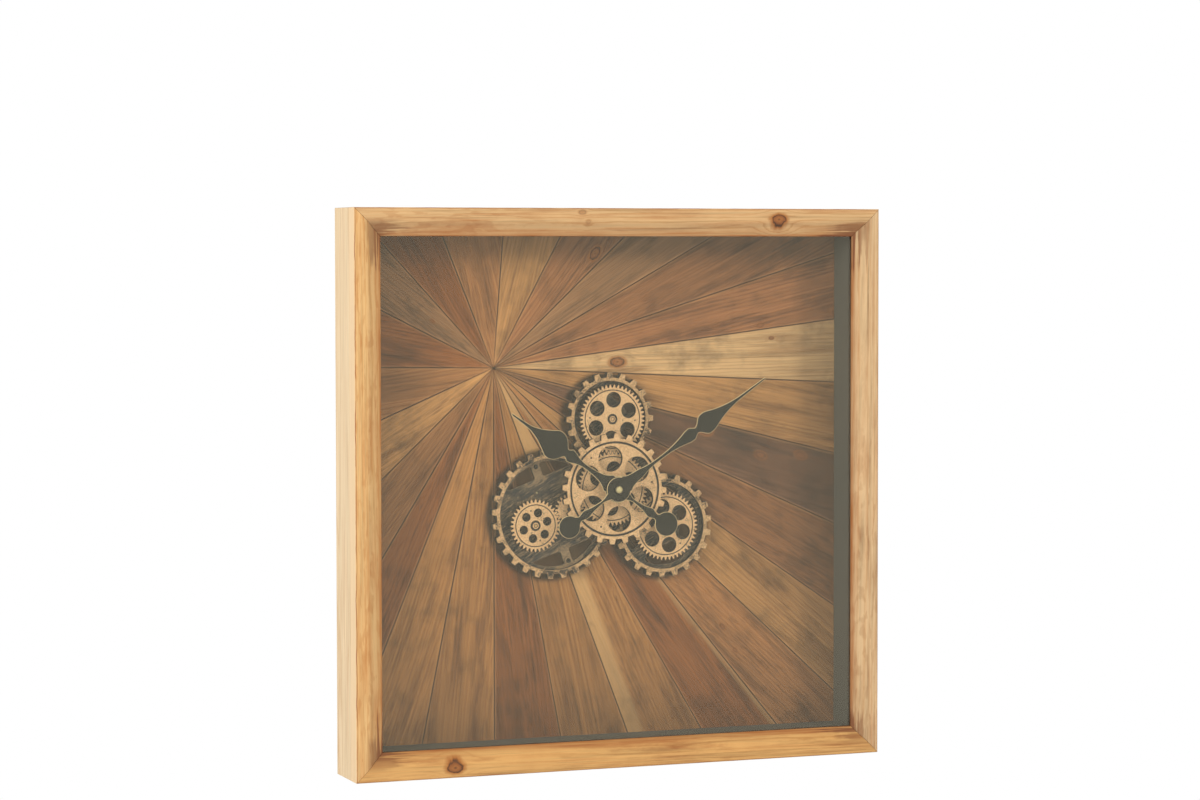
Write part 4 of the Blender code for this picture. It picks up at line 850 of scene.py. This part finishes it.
gold_bronze = rubbed_bronze("gold_rubbed_bronze_paint", "#FACA90", "#DFAC74", "#17120C", 1.0)
rim_bronze = rubbed_bronze("worn_gold_on_dark_bronze_paint", "#EDBE86", "#B98B56", "#1C1711", 0.78,
                           blotch=0.8)
slate_bronze = rubbed_bronze("brushed_gold_on_dark_bronze_paint", "#BA9568", "#776348", "#1F201D", 0.36,
                             grit=1500.0, blotch=0.2, stretch=13.0, rise=30.0, bright=screws)
groove_bronze = rubbed_bronze("dark_bronze_paint_in_grooves", "#8A6B42", "#4F3F28", "#1A150F", 0.2)

# %% [markdown]
# ## The cast base
#
# One casting carries everything: three rings with square teeth, a floor with windows, a sleeve for
# the hands, and a spindle for each wheel. Every part of it comes from the outlines of circles and
# toothed rings. Where they overlap, the plane is split into triangles, and those that belong to the
# casting are kept.

# %% Base measures
BLOCK_TIP_WIDTH, BLOCK_ROOT_WIDTH, BLOCK_HEIGHT, RIM_WIDTH = 5.4, 7.6, 5.4, 3.8
BASE_BACK, FLOOR_FRONT, RIM_FRONT = 18.3, 21.0, 27.0
WHEEL_BACK, WHEEL_FRONT = depths("top_wheel")
FACE_BACK, FACE_FRONT = depths("face_gear")
CENTRE_FLOOR = 52.0
DISH = 42.4


def block_teeth(teeth, tip, turn, centre):
    """Square-ended teeth on a round rim, with the rim rounded between them."""
    root = tip - BLOCK_HEIGHT
    root_half = math.degrees(BLOCK_ROOT_WIDTH / 2 / root)
    tip_half = math.degrees(BLOCK_TIP_WIDTH / 2 / tip)
    pitch = 360 / teeth
    gap = np.linspace(root_half, pitch - root_half, 4)[1:-1]
    angles = np.concatenate([[-root_half, -tip_half, 0.0, tip_half, root_half], gap])
    radii = np.array([root, tip, tip, tip, root, root, root])
    middles = turn + np.arange(teeth) * pitch
    return outline(polar(np.tile(radii, teeth), (middles[:, None] + angles).ravel(), centre))


def arc(radius, start, end, steps, centre):
    """Points along part of a circle."""
    return polar(radius, np.linspace(start, end, steps), centre)


def softened(points, reach, step=0.8):
    """Rounds an outline's corners: the outline is cut into even steps in mm, and each point becomes
    the mean of those that lie within a reach of it."""
    ring = np.concatenate([points, points[:1]])
    length = np.concatenate([[0], np.cumsum(np.linalg.norm(np.diff(ring, axis=0), axis=1))])
    even = np.linspace(0, length[-1], round(length[-1] / step), endpoint=False)
    dense = np.stack([np.interp(even, length, ring[:, i]) for i in (0, 1)], axis=1)
    width = round(reach / step)
    return sum(np.roll(dense, shift, axis=0) for shift in range(-width, width + 1)) / (2 * width + 1)


def base_windows():
    """Four curved windows in the top and the right ring, and two pairs beside the left ring's band."""
    found = []
    for key, turn in (("top", 45.0), ("right", 85.0)):
        centre, _, tip, _ = RINGS[key]
        outer = tip - 13.2
        for middle in turn + np.arange(4) * 90:
            found.append([arc(outer, middle - 33, middle + 33, 24, centre),
                          arc(22, middle + 33, middle - 33, 14, centre)])
    centre, _, tip, _ = RINGS["left"]
    outer = tip - BLOCK_HEIGHT - RIM_WIDTH - 3.6
    reach = math.degrees(math.acos(BAND_REACH / outer))
    spoke = math.degrees(math.asin(SPOKE / 2 / outer))
    chord = math.degrees(math.atan(SPOKE / 2 / BAND_REACH))
    for middle in (BAND_TURN, BAND_TURN + 180):
        for hand in (-1, 1):
            corner = polar(math.hypot(SPOKE / 2, BAND_REACH), [middle + hand * chord], centre)
            found.append([arc(outer, middle + hand * spoke, middle + hand * reach, 18, centre), corner])
    return [outline(softened(np.concatenate(arcs), 2.4), hole=True) for arcs in found]


# %% Build the base
SOFT = 0.35
FOOT = FLOOR_FRONT - 1  # the posts start inside the floor
SHOULDER_FRONT = WHEEL_BACK - 0.3
SLEEVE, SLEEVE_FOOT, SLEEVE_BORE, SPINDLE_FOOT, PIN_RADIUS, PIN_HOLE = 9.4, 12.5, 7.4, 7.0, 3.4, 1.8
FACE_POST, FACE_POST_TURNS = 3.5, (82.0, 204.0, 321.0)
PINION_BORE, SCREW_HOLE, SCREW_WELL = 2.3, 1.9, 2.6


def collar(radius, front, soft=SOFT):
    """The rows of a post's outer wall, from its foot to its softened front edge."""
    return [(radius, FOOT), (radius, front - soft), (radius - soft, front)]


dish = circle(DISH, HANDS_AXIS, 128)
rims = []
discs = []
for centre, count, tip, turn in RINGS.values():
    teeth = block_teeth(count, tip, turn, centre)
    inner = circle(tip - BLOCK_HEIGHT - RIM_WIDTH, centre, 128)
    discs.append(circle(tip - BLOCK_HEIGHT - RIM_WIDTH / 2, centre, 128))
    rim_rows = ((0.0, BASE_BACK + 0.05), (0.0, RIM_FRONT - SOFT), (SOFT, RIM_FRONT))
    rims.append(plate([(cut([teeth], [inner, dish]), rim_rows)]))
discs.append(circle(CENTRE_FLOOR, HANDS_AXIS, 128))
bores = [circle(SLEEVE_HOLE, HANDS_AXIS, 32), circle(PINION_BORE, PINION_AXIS, 24)]
bores += [circle(SCREW_HOLE, place, 24) for place in screws]
floor_rows = ((0.0, BASE_BACK), (0.0, FLOOR_FRONT - SOFT), (SOFT, FLOOR_FRONT))
base_parts = [plate([(cut(discs, base_windows() + bores), floor_rows)])]
front = FACE_BACK - 0.3
sleeve = [(SLEEVE_BORE, FOOT), *collar(SLEEVE_FOOT, SHOULDER_FRONT), (SLEEVE, SHOULDER_FRONT),
          (SLEEVE, front - 0.3), (SLEEVE - 0.3, front), (SLEEVE_BORE, front), (SLEEVE_BORE, FOOT)]
bushing = [(PINION_BORE, FOOT), *collar(SPINDLE_FOOT, SHOULDER_FRONT), (PINION_BORE, SHOULDER_FRONT),
           (PINION_BORE, FOOT)]
base_parts += [turned(sleeve, HANDS_AXIS, 64), turned(bushing, PINION_AXIS)]
face_post = [(0, FOOT), *collar(FACE_POST, front, 0.3), (0, front)]
for turn in FACE_POST_TURNS:
    base_parts.append(turned(face_post, polar(DISH + FACE_POST, turn, HANDS_AXIS)))
pin_front = WHEEL_FRONT - 1.8
hole_floor = WHEEL_FRONT - 9.3
spindle = [(0, FOOT), *collar(SPINDLE_FOOT, SHOULDER_FRONT), (PIN_RADIUS, SHOULDER_FRONT),
           (PIN_RADIUS, pin_front), (PIN_HOLE, pin_front), (PIN_HOLE, hole_floor), (0, hole_floor)]
base_parts += [turned(spindle, place) for place in (TOP_AXIS, RIGHT_AXIS, LEFT_AXIS)]
boss_front = FLOOR_FRONT + 1.5
boss = [(SCREW_HOLE, FOOT), *collar(4.4, boss_front), (2.9, boss_front), (SCREW_WELL, boss_front - 0.3),
        (SCREW_WELL, FLOOR_FRONT - 0.1), (SCREW_HOLE, FLOOR_FRONT - 0.1), (SCREW_HOLE, FOOT)]
base_parts += [turned(boss, place) for place in screws]
base = make_piece("cast_base", [stacked(rims), stacked(base_parts)], [rim_bronze, slate_bronze],
                  "root", ["gear_base"])
print("the base has", len(base.data.polygons), "triangles")

# %% [markdown]
# ## The wheels
#
# A wheel's teeth are involutes: the curve that the end of a taut string draws as it unwinds from a
# circle. Two such flanks roll on each other at a steady rate. The teeth are set so that each wheel
# meshes with its neighbour at rest, which the CAD model has worked out in the same way.

# %% Wheel outlines
MODULE = 1.5
PRESSURE = math.radians(20.0)
ADDENDUM, DEDENDUM, BACKLASH = 0.95, 1.25, 0.3
CENTRE_TEETH, DISC_TEETH, PINION_TEETH, LEFT_TEETH = 52, 48, 20, 36


def involute_teeth(count, turn, centre):
    """Gear teeth with one of them at turn. At a radius, a flank lies at the pitch circle's half
    angle plus the involute angle there less the one at that radius."""
    pitch = MODULE * count / 2
    radii = np.linspace(MODULE * (count / 2 - DEDENDUM), MODULE * (count / 2 + ADDENDUM), 6)
    involute = np.tan(PRESSURE) - PRESSURE
    inside_angle = np.arccos(np.minimum(1.0, pitch * math.cos(PRESSURE) / radii))
    half = (math.pi * MODULE / 2 - BACKLASH) / 2 / pitch + involute - (np.tan(inside_angle) - inside_angle)
    half = np.degrees(half)
    angles = np.concatenate([-half, half[::-1]])
    tooth_radii = np.concatenate([radii, radii[::-1]])
    middles = turn + np.arange(count) * 360 / count
    return outline(polar(np.tile(tooth_radii, count), (middles[:, None] + angles).ravel(), centre))


def meshing(way, own, driver, driver_turn):
    """A tooth's turn on a wheel that lies in this direction from its driver and meshes with it."""
    return way + 180 + ((way - driver_turn) * driver / 360 - 0.5) * 360 / own


def edge_rows(back, front, soft=0.25):
    """A wall with both its edges softened."""
    return ((soft, back), (0.0, back + soft), (0.0, front - soft), (soft, front))


def pocket_rows(front, depth, soft=0.15):
    """The wall of a shallow pocket, from its floor to the front."""
    return ((0.0, front - depth), (0.0, front - soft), (soft, front))


def groove(outer, width, depth, front, centre, soft=0.15):
    """A ring-shaped groove: its outer wall is a hole's, its inner wall an island's."""
    return [(circle(outer, centre, 128, hole=True), pocket_rows(front, depth)),
            (circle(outer - width, centre, 128), pocket_rows(front, depth, soft))]


def wheel_holes(centre, radius, reach, turn, back, front, steps=48):
    """Six round holes on a circle."""
    rows = edge_rows(back, front, 0.35)
    return [(circle(radius, polar(reach, turn + 60 * i, centre), steps, hole=True), rows) for i in range(6)]


def dimples(centre, reach, turns, front, radius=0.9):
    """Small moulding marks in a wheel's face."""
    rows = pocket_rows(front, 0.7)
    return [(circle(radius, polar(reach, turn, centre), 16, hole=True), rows) for turn in turns]


# %% Build the wheels
WHEEL_BORE, COUNTERBORE, CENTRE_BORE = 3.8, 5.7, 9.8
pinion_turn = meshing(246.9, PINION_TEETH, CENTRE_TEETH, 0.0)
WHEELS = (  # name, axis, teeth, turn of a tooth, radius, circle and turn of the holes, marks
    ("centre_wheel", HANDS_AXIS, CENTRE_TEETH, 0.0, 8.4, 21.0, 5.0, ()),
    ("top_wheel", TOP_AXIS, DISC_TEETH, meshing(0.0, DISC_TEETH, CENTRE_TEETH, 0.0), 8.4, 21.0, 4.0,
     (94.0, 274.0)),
    ("right_wheel", RIGHT_AXIS, DISC_TEETH, meshing(124.3, DISC_TEETH, CENTRE_TEETH, 0.0), 8.4, 21.0, -11.0,
     (139.0, 319.0)),
    ("left_wheel", LEFT_AXIS, LEFT_TEETH, meshing(246.9, LEFT_TEETH, PINION_TEETH, pinion_turn), 4.7, 14.0,
     12.0, (-18.0, 162.0)),
)
both_edges = edge_rows(WHEEL_BACK, WHEEL_FRONT)
for name, centre, count, turn, radius, reach, hole_turn, marks in WHEELS:
    root = MODULE * (count / 2 - DEDENDUM)
    edges = [(involute_teeth(count, turn, centre), both_edges)]
    edges += wheel_holes(centre, radius, reach, hole_turn, WHEEL_BACK, WHEEL_FRONT)
    edges += groove(root - 2.2, 1.0, 1.0, WHEEL_FRONT, centre)
    edges += dimples(centre, reach + radius * 0.6, marks, WHEEL_FRONT)
    if name == "centre_wheel":
        edges.append((circle(CENTRE_BORE, centre, 64, hole=True), both_edges))
    else:
        step = WHEEL_FRONT - 1.5
        bore = ((0.2, WHEEL_BACK), (0.0, WHEEL_BACK + 0.2), (0.0, step))
        edges.append((circle(WHEEL_BORE, centre, 48, hole=True), bore))
        edges.append((circle(COUNTERBORE, centre, 48, hole=True), pocket_rows(WHEEL_FRONT, 1.5, 0.2)))
    made = make_piece(f"moulded_{name}", [plate(edges), pocket_floors(edges)],
                      [gold_bronze, groove_bronze], name, [name])
    print(name, "has", len(made.data.polygons), "triangles")
edges = [(involute_teeth(PINION_TEETH, pinion_turn, PINION_AXIS), both_edges),
         (circle(PINION_BORE, PINION_AXIS, 32, hole=True), both_edges)]
make_piece("moulded_drive_pinion", [plate(edges)], [gold_bronze], "drive_pinion", ["drive_pinion"])

# %% [markdown]
# ## The face gear
#
# The largest gear stands in front and doesn't turn. Its disc is rounded where it meets the groove, and
# its square teeth match those of the rings.

# %% Build the face gear
FACE_TIP, FACE_BORE, FACE_TEETH, FACE_TURN = 60.0, 4.5, 24, 2.7
FACE_HOLE, FACE_HOLE_CIRCLE, FACE_HOLE_TURN = 13.9, 33.0, -8.5
rows = edge_rows(FACE_BACK, FACE_FRONT, 0.4)
edges = [(block_teeth(FACE_TEETH, FACE_TIP, FACE_TURN, HANDS_AXIS), rows),
         (circle(FACE_BORE, HANDS_AXIS, 48, hole=True), rows)]
edges += wheel_holes(HANDS_AXIS, FACE_HOLE, FACE_HOLE_CIRCLE, FACE_HOLE_TURN, FACE_BACK, FACE_FRONT, 64)
edges += groove(FACE_TIP - BLOCK_HEIGHT - 3.2, 2.2, 1.2, FACE_FRONT, HANDS_AXIS, 0.5)
edges += dimples(HANDS_AXIS, 43.5, (81.5, 201.5, 321.5), FACE_FRONT, 1.0)
face = make_piece("moulded_face_gear", [plate(edges), pocket_floors(edges)], [gold_bronze, groove_bronze],
                  "root", ["face_gear"])
print("the face gear has", len(face.data.polygons), "triangles")

# %% [markdown]
# ## The hands
#
# Both hands are spade hands, stamped from thin sheet and painted matt black. Their edges have lost
# the paint and show as a thin gold line. The outline goes through measured half widths with a smooth
# curve that never overshoots them.

# %% Hand paint and outlines
def hand_paint():
    """Matt black paint on the flat faces, bare gold metal on the edges."""
    material, add, shader = new_material("matt_black_paint_with_gold_edges")
    place = add("TexCoord").outputs["Object"]
    _, facing, _ = add("SeparateXYZ", add("NewGeometry").outputs["Normal"]).outputs
    paint = add("MapRange", add("Math ABSOLUTE", facing), 0.93, 0.985)
    grit = add("TexNoise", place, Scale=1600.0)
    black = add("Mix RGBA", grit, "#17160F", "#211F16")
    colour = add("Mix RGBA", paint, "#EACB92", black)
    metal = add("MapRange", paint, 0.0, 1.0, 0.3, 0.0)
    relief = add("Bump", Height=grit, Distance=0.00002)
    feed(shader, Base_Color=colour, Metallic=metal, Roughness=0.5, Specular_IOR_Level=0.2, Normal=relief)
    return material


def smooth_between(x, y, at):
    """A cubic through the points, level at each high and low, so that it never overshoots. The slope
    at a point is the harmonic mean of the slopes beside it."""
    step = np.diff(x)
    rise = np.diff(y) / step
    same = rise[:-1] * rise[1:] > 0
    mean = 2 * rise[:-1] * rise[1:] / np.where(same, rise[:-1] + rise[1:], 1.0)
    slope = np.concatenate([rise[:1], np.where(same, mean, 0.0), rise[-1:]])
    i = np.clip(np.searchsorted(x, at) - 1, 0, len(step) - 1)
    t = (at - x[i]) / step[i]
    return ((1 + 2 * t) * (1 - t) ** 2 * y[i] + t * (1 - t) ** 2 * step[i] * slope[i]
            + t**2 * (3 - 2 * t) * y[i + 1] - t**2 * (1 - t) * step[i] * slope[i + 1])


HOUR = np.array([
    (-58, 6), (-53.5, 3.2), (-50, 4.2), (-46.5, 5.4), (-36, 2.8), (-22, 1.7), (-13, 4.5), (12.5, 10),
    (16.5, 7.6), (22, 5), (31, 3.2), (45, 2.3), (55, 3.7), (62.5, 6.6), (66.5, 7.4), (69.5, 5.2),
    (71.5, 4.6), (73.5, 6.6), (77, 11.3), (82, 15), (87, 16.3), (91, 15.8), (95.5, 13.3), (101, 10),
    (107, 6.9), (113, 4.5), (120, 2.6), (130, 1.8), (146.5, 1.15),
])
MINUTE = np.array([
    (-58.5, 6), (-53.5, 3), (-50, 3.8), (-46.5, 4.8), (-36, 2.6), (-22, 1.5), (-12.5, 4), (11.5, 9.6),
    (15.5, 7.4), (22, 5.9), (30, 5), (40, 3), (50, 2), (60, 1.9), (70, 2.2), (80, 3.3), (90, 5.2),
    (99, 7.2), (103, 7.4), (106.5, 5.4), (109.5, 3.6), (113, 5), (116.5, 8.8), (121, 11.7), (126, 12),
    (132, 10.4), (140, 7.4), (150, 4.7), (160, 2.9), (170, 1.9), (185, 1.5), (207.8, 1.1),
])
MINUTE_TURN = 55.6
TAIL_REACH = 68.5
black_hand = hand_paint()


def make_hand(name, stations, turn, hub, tail, bore):
    """A blade with a round hub and a round tail disc, and a bore for its arbor."""
    back, front = depths(name)
    ends = zip(stations[:-1, 0], stations[1:, 0])
    at = np.unique(np.concatenate([np.linspace(start, end, 5) for start, end in ends]))
    half = smooth_between(stations[:, 0], stations[:, 1], at)
    way, square = polar(1.0, turn), polar(1.0, turn + 90)
    sides = [HANDS_AXIS + at[:, None] * way + sign * half[:, None] * square for sign in (1, -1)]
    blade = outline(np.concatenate([sides[0], sides[1][::-1]]))
    solids = [blade, circle(hub, HANDS_AXIS, 96), circle(tail, HANDS_AXIS - TAIL_REACH * way, 96)]
    area = cut(solids, [circle(bore, HANDS_AXIS, 32)])
    rows = ((0.2, back), (0.0, back + 0.2), (0.0, front - 0.35), (0.5, front))
    make_piece(f"spade_{name}", [plate([(area, rows)])], [black_hand], name, [name],
               smooth=25.0)


make_hand("hour_hand", HOUR, 300 + MINUTE_TURN / 12, hub=14.3, tail=13.2, bore=2.9)
make_hand("minute_hand", MINUTE, MINUTE_TURN, hub=13.6, tail=12.2, bore=1.9)

# %% [markdown]
# ## Brass, steel and black parts
#
# Bought parts keep their own finishes: turned brass for the cap and the clamp nut, zinc on the steel,
# and moulded black housings. The pins are painted like the wheels they hold.

# %% Plain finishes
def plain(name, first, second, grain, metallic, rough, stretch=(1.0, 1.0, 1.0), relief=0.00002):
    """A finish with a fine pattern: two close colours mixed by noise of a grain size in mm."""
    material, add, shader = new_material(name)
    place = add("TexCoord").outputs["Object"]
    spread = add("Mapping", place, Scale=stretch)
    noise = add("TexNoise", spread, Scale=1000.0 / grain, Detail=3.0)
    colour = add("Mix RGBA", noise, first, second)
    shine = add("MapRange", noise, 0.3, 0.7, rough - 0.06, rough + 0.08)
    pits = add("Bump", Height=noise, Distance=relief)
    feed(shader, Base_Color=colour, Metallic=metallic, Roughness=shine, Normal=pits)
    return material


brass = plain("turned_brass", "#F2DFA6", "#E2C685", 2.0, 1.0, 0.3)
aged_brass = plain("rubbed_brass_pin", "#E8BE7C", "#C4924E", 1.6, 0.6, 0.35)
steel = plain("zinc_plated_steel", "#B4B6B6", "#9A9C9D", 3.0, 1.0, 0.32)
black_plastic = plain("moulded_black_abs", "#1C1C1C", "#262626", 0.8, 0.0, 0.45)
black_board = plain("black_painted_board", "#49463B", "#524E44", 8.0, 0.0, 0.8, (0.2, 1.0, 1.0), 0.0000005)
dark_steel = plain("blackened_steel_screw", "#2B2A27", "#3D3A34", 1.2, 0.5, 0.5)
jacket = plain("dark_blue_battery_jacket", "#1B2C4E", "#223A63", 6.0, 0.3, 0.3)
plywood = plain("plywood", "#C9A574", "#A98354", 2.2, 0.0, 0.65, (0.06, 1.0, 1.0), 0.00006)

# %% Pins and cap
for name, place in (("top_pin", TOP_AXIS), ("right_pin", RIGHT_AXIS), ("left_pin", LEFT_AXIS)):
    back, front = depths(name)
    head = front - 2.0
    washer = [(0, back), (1.3, back), (1.5, back + 0.2), (1.5, head), (4.6, head), (4.8, head + 0.2),
              (4.8, head + 0.6), (4.6, head + 0.8), (3.4, head + 0.8)]
    gold_ring = [(3.4, head + 0.8), (3.4, front - 0.4), (3.1, front - 0.1), (2.3, front - 0.1)]
    groove_rows = [(2.3, front - 0.1), (2.2, front - 0.9), (1.7, front - 0.9), (1.6, front - 0.2)]
    boss = [(1.6, front - 0.2), (1.3, front), (0, front)]
    shine = aged_brass if name == "left_pin" else gold_bronze
    make_piece(f"headed_{name}", [turned(rows, place) for rows in (washer, gold_ring, groove_rows, boss)],
               [groove_bronze, gold_bronze, groove_bronze, shine], "root", [name])
back, front = depths("hand_cap")
rise = np.radians(np.linspace(90, 0, 12))
dome = [(4 * math.sin(a), back + 1 + 2 * math.cos(a)) for a in rise[:-1]]
rows = [(0, front - 0.8), (1.9, front - 0.8), (1.9, back), (4.0, back), *dome, (0, front)]
make_piece("brass_hand_cap", [turned(rows, HANDS_AXIS, 64)], [brass], "minute_hand", ["hand_cap"])

# %% [markdown]
# Two dark screws hold the casting to the panel, two pan-head screws hold the hanger plate, and a
# small brass rivet closes the casting's sprue hole. They are too small for the CAD model, which only
# has their holes, so they replace nothing.

# %% Screws and rivet
def screw(name, centre, head_back, head_front, shank_end, radius, shank, finish):
    """A screw square to the wall, with a domed head and a square recess in it. The head looks to the
    front when head_front is the larger depth, and to the wall otherwise."""
    way = math.copysign(1.0, head_front - head_back)
    height = abs(head_front - head_back)
    square = 0.34 * radius
    rows = [(0, shank_end), (shank * 0.3, shank_end), (shank, shank_end + way * 2), (shank, head_back),
            (radius * 0.96, head_back), (radius, head_back + way * height * 0.3),
            (radius * 0.8, head_back + way * height * 0.8), (square * 1.2, head_front)]
    recess_floor = head_front - way * height * 0.6
    recess = [(square * 1.2, head_front), (square, recess_floor), (0, recess_floor)]
    parts = [turned(rows, centre, 32), turned(recess, centre, 32)]
    if way < 0:
        parts = [(points, faces[:, ::-1]) for points, faces in parts]
    make_piece(name, parts, [finish, groove_bronze], "root", None)


for number, place in enumerate(screws, 1):
    screw(f"base_screw_{number}", place, FLOOR_FRONT + 0.02, FLOOR_FRONT + 1.1, BASE_BACK - 3.0, 2.5, 1.1,
          dark_steel)
low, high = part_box("hanger_plate")
plate_back = depths("hanger_plate")[0]
plate_middle = ((low.z + high.z) / 2 - CENTRE_Z) / MM
screw_reach = (high.x - low.x) / 2 / MM - 7.0
for number, x in enumerate((-screw_reach, screw_reach), 1):
    screw(f"hanger_screw_{number}", np.array([x, plate_middle]), plate_back - 0.1, plate_back - 1.9,
          plate_back + 6.5, 3.2, 1.6, steel)
rivet = [(0, FOOT), (1.1, FOOT), (1.1, FLOOR_FRONT + 0.3), (0.8, FLOOR_FRONT + 0.8),
         (0.4, FLOOR_FRONT + 1), (0, FLOOR_FRONT + 1)]
make_piece("brass_rivet", [turned(rivet, LEFT_AXIS + [5.9, 34.2], 24)], [brass], "root", None)

# %% [markdown]
# The glass lies on a spacer: a frame of black painted board that stands on the slats. Its inner
# faces come level with the moulding's lip, so that it shows as a dark strip at the right and below.

# %% Spacer
spacer_back, spacer_front = depths("glass_spacer_frame")
MIDDLE = np.zeros(2)
spacer_inner = HALF - MOULDING_WIDTH + SLAT_GAP
spacer_rows = edge_rows(spacer_back, spacer_front)
spacer_walls = [(rectangle(MIDDLE, PANEL_HALF, PANEL_HALF), spacer_rows),
                (rectangle(MIDDLE, spacer_inner, spacer_inner, hole=True), spacer_rows)]
make_piece("black_glass_spacer", [plate(spacer_walls)], [black_board], "root", ["glass_spacer_frame"])

# %% [markdown]
# The two batteries lie in their bays on the back. Each is a steel can in a printed jacket that leaves
# its flat end and its raised cap bare.

# %% Batteries
def battery(name, along_x):
    """A dry cell turned about an upright axis or one that lies along x. Its profile runs from the
    flat end to the cap, and the whole is then turned over by swapping two directions."""
    low, high = (np.array(corner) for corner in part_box(name))
    middle = ((low + high) / 2 - [0, 0, CENTRE_Z]) * [1 / MM, -1 / MM, 1 / MM]
    width, _, height = (high - low) / MM
    length, radius = (width, height / 2) if along_x else (height, width / 2)
    flat_end = [(0, 0.4), (radius - 3.2, 0.4), (radius - 2.9, 0), (radius - 1, 0), (radius - 0.5, 0.4)]
    sleeve = [(radius - 0.5, 0.4), (radius, 0.9), (radius, length - 2.4), (radius - 0.4, length - 2),
              (radius - 1.3, length - 2)]
    cap_end = [(radius - 1.3, length - 2), (2.75, length - 1.6), (2.75, length - 0.4), (2.4, length),
               (0, length)]
    parts = []
    for rows in (flat_end, sleeve, cap_end):
        points, faces = turned([(r, along - length / 2) for r, along in rows])
        x, along, z = points.T
        swapped = np.stack([along, -x, z] if along_x else [x, -z, along], axis=1)
        parts.append((middle + swapped, faces))
    make_piece(f"dry_cell_{name}", parts, [steel, jacket, steel], "root", [name])


battery("movement_battery", along_x=False)
battery("gear_drive_battery", along_x=True)

# %% [markdown]
# ## What stays from the CAD model
#
# The glass, the backing board, the arbors and the housings already have their right shape. They only
# get their finishes. Clear float glass reflects about a twelfth of what is in front of it, which
# veils the panel a little, and lets the light through to the gears.

# %% Glass
def float_glass():
    """Clear glass. What lights the parts behind it, from lamps or from the room, goes straight through."""
    material, add, shader = new_material("clear_float_glass")
    feed(shader, Base_Color="#FBFDFB", Specular_Tint="#FFF7DC", Roughness=0.0, IOR=1.52,
         Transmission_Weight=1.0)
    paths = add("LightPath").outputs
    lit = add("Math MAXIMUM", paths["Is Shadow Ray"], paths["Is Diffuse Ray"])
    both = add("MixShader", lit, shader, add("BsdfTransparent"))
    feed(material.node_tree.nodes["Material Output"], Surface=both)
    return material


KEPT = {
    "glass_pane": float_glass(),
    "backing_board": plywood,
    "drive_shaft": steel,
    "hour_tube": brass,
    "minute_arbor": steel,
    "clamp_nut": brass,
    "hanger_plate": steel,
    "movement_case": black_plastic,
    "gear_drive_case": black_plastic,
    "setting_knob": black_plastic,
}
for name, material in KEPT.items():
    node = frame["nodes"][name]
    node.data.materials.clear()
    node.data.materials.append(material)
print(len(KEPT), "CAD nodes keep their shape")

# %% [markdown]
# ## Studio
#
# Soft light from the upper left and front, a weaker one from the right, and a bright even room. The
# camera, mirrors and glass see the room as plain white. The floor lies well below the clock, which
# hangs on a wall.

# %% Floor, world and lamps
FLOOR_SIDE, FLOOR_DROP = 5.0, 1.3
corner = FLOOR_SIDE / 2
mesh = bpy.data.meshes.new("floor")
mesh.from_pydata([(-corner, -corner, -FLOOR_DROP), (corner, -corner, -FLOOR_DROP),
                  (corner, corner, -FLOOR_DROP), (-corner, corner, -FLOOR_DROP)], [], [(0, 1, 2, 3)])
floor_piece = bpy.data.objects.new("floor", mesh)
bpy.context.scene.collection.objects.link(floor_piece)
floor_paint, _, shader = new_material("pale_floor")
feed(shader, Base_Color="#F4F3F0", Roughness=0.9)
mesh.materials.append(floor_paint)
floor_piece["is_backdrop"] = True

world = bpy.data.worlds.new("studio")
bpy.context.scene.world = world
world.use_nodes = True
add = partial(add_node, world.node_tree)
paths = add("LightPath").outputs
seen = add("Math MAXIMUM", paths["Is Camera Ray"], paths["Is Glossy Ray"])
seen = add("Math MAXIMUM", seen, paths["Is Transmission Ray"])
room = world.node_tree.nodes["Background"]
feed(room, Color="#FFFFFF", Strength=0.42)
white = add("Background", Color="#FFFFFF", Strength=1.0)
mixed = add("MixShader", seen, room, white)
feed(world.node_tree.nodes["World Output"], Surface=mixed)

LAMPS = (  # name, place and width in m, power in W
    ("left", (-2.7, -1.5, 0.9), 1.4, 62.0),
    ("right", (2.3, -2.3, 1.2), 0.8, 42.0),
)
for name, place, size, power in LAMPS:
    lamp = bpy.data.lights.new(name, "AREA")
    lamp.shape = "DISK"
    lamp.size = size
    lamp.energy = power
    lamp_object = bpy.data.objects.new(name, lamp)
    bpy.context.scene.collection.objects.link(lamp_object)
    aim = Vector((0, 0, CENTRE_Z)) - Vector(place)
    lamp_object.matrix_world = Matrix.Translation(place) @ aim.to_track_quat("-Z", "Y").to_matrix().to_4x4()
    lamp_object.visible_glossy = False
    lamp_object.visible_transmission = False
bpy.context.scene.view_settings.view_transform = "Standard"

# %% Finish
low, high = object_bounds()
print("visual box", [round(v, 4) for v in (*low, *high)])
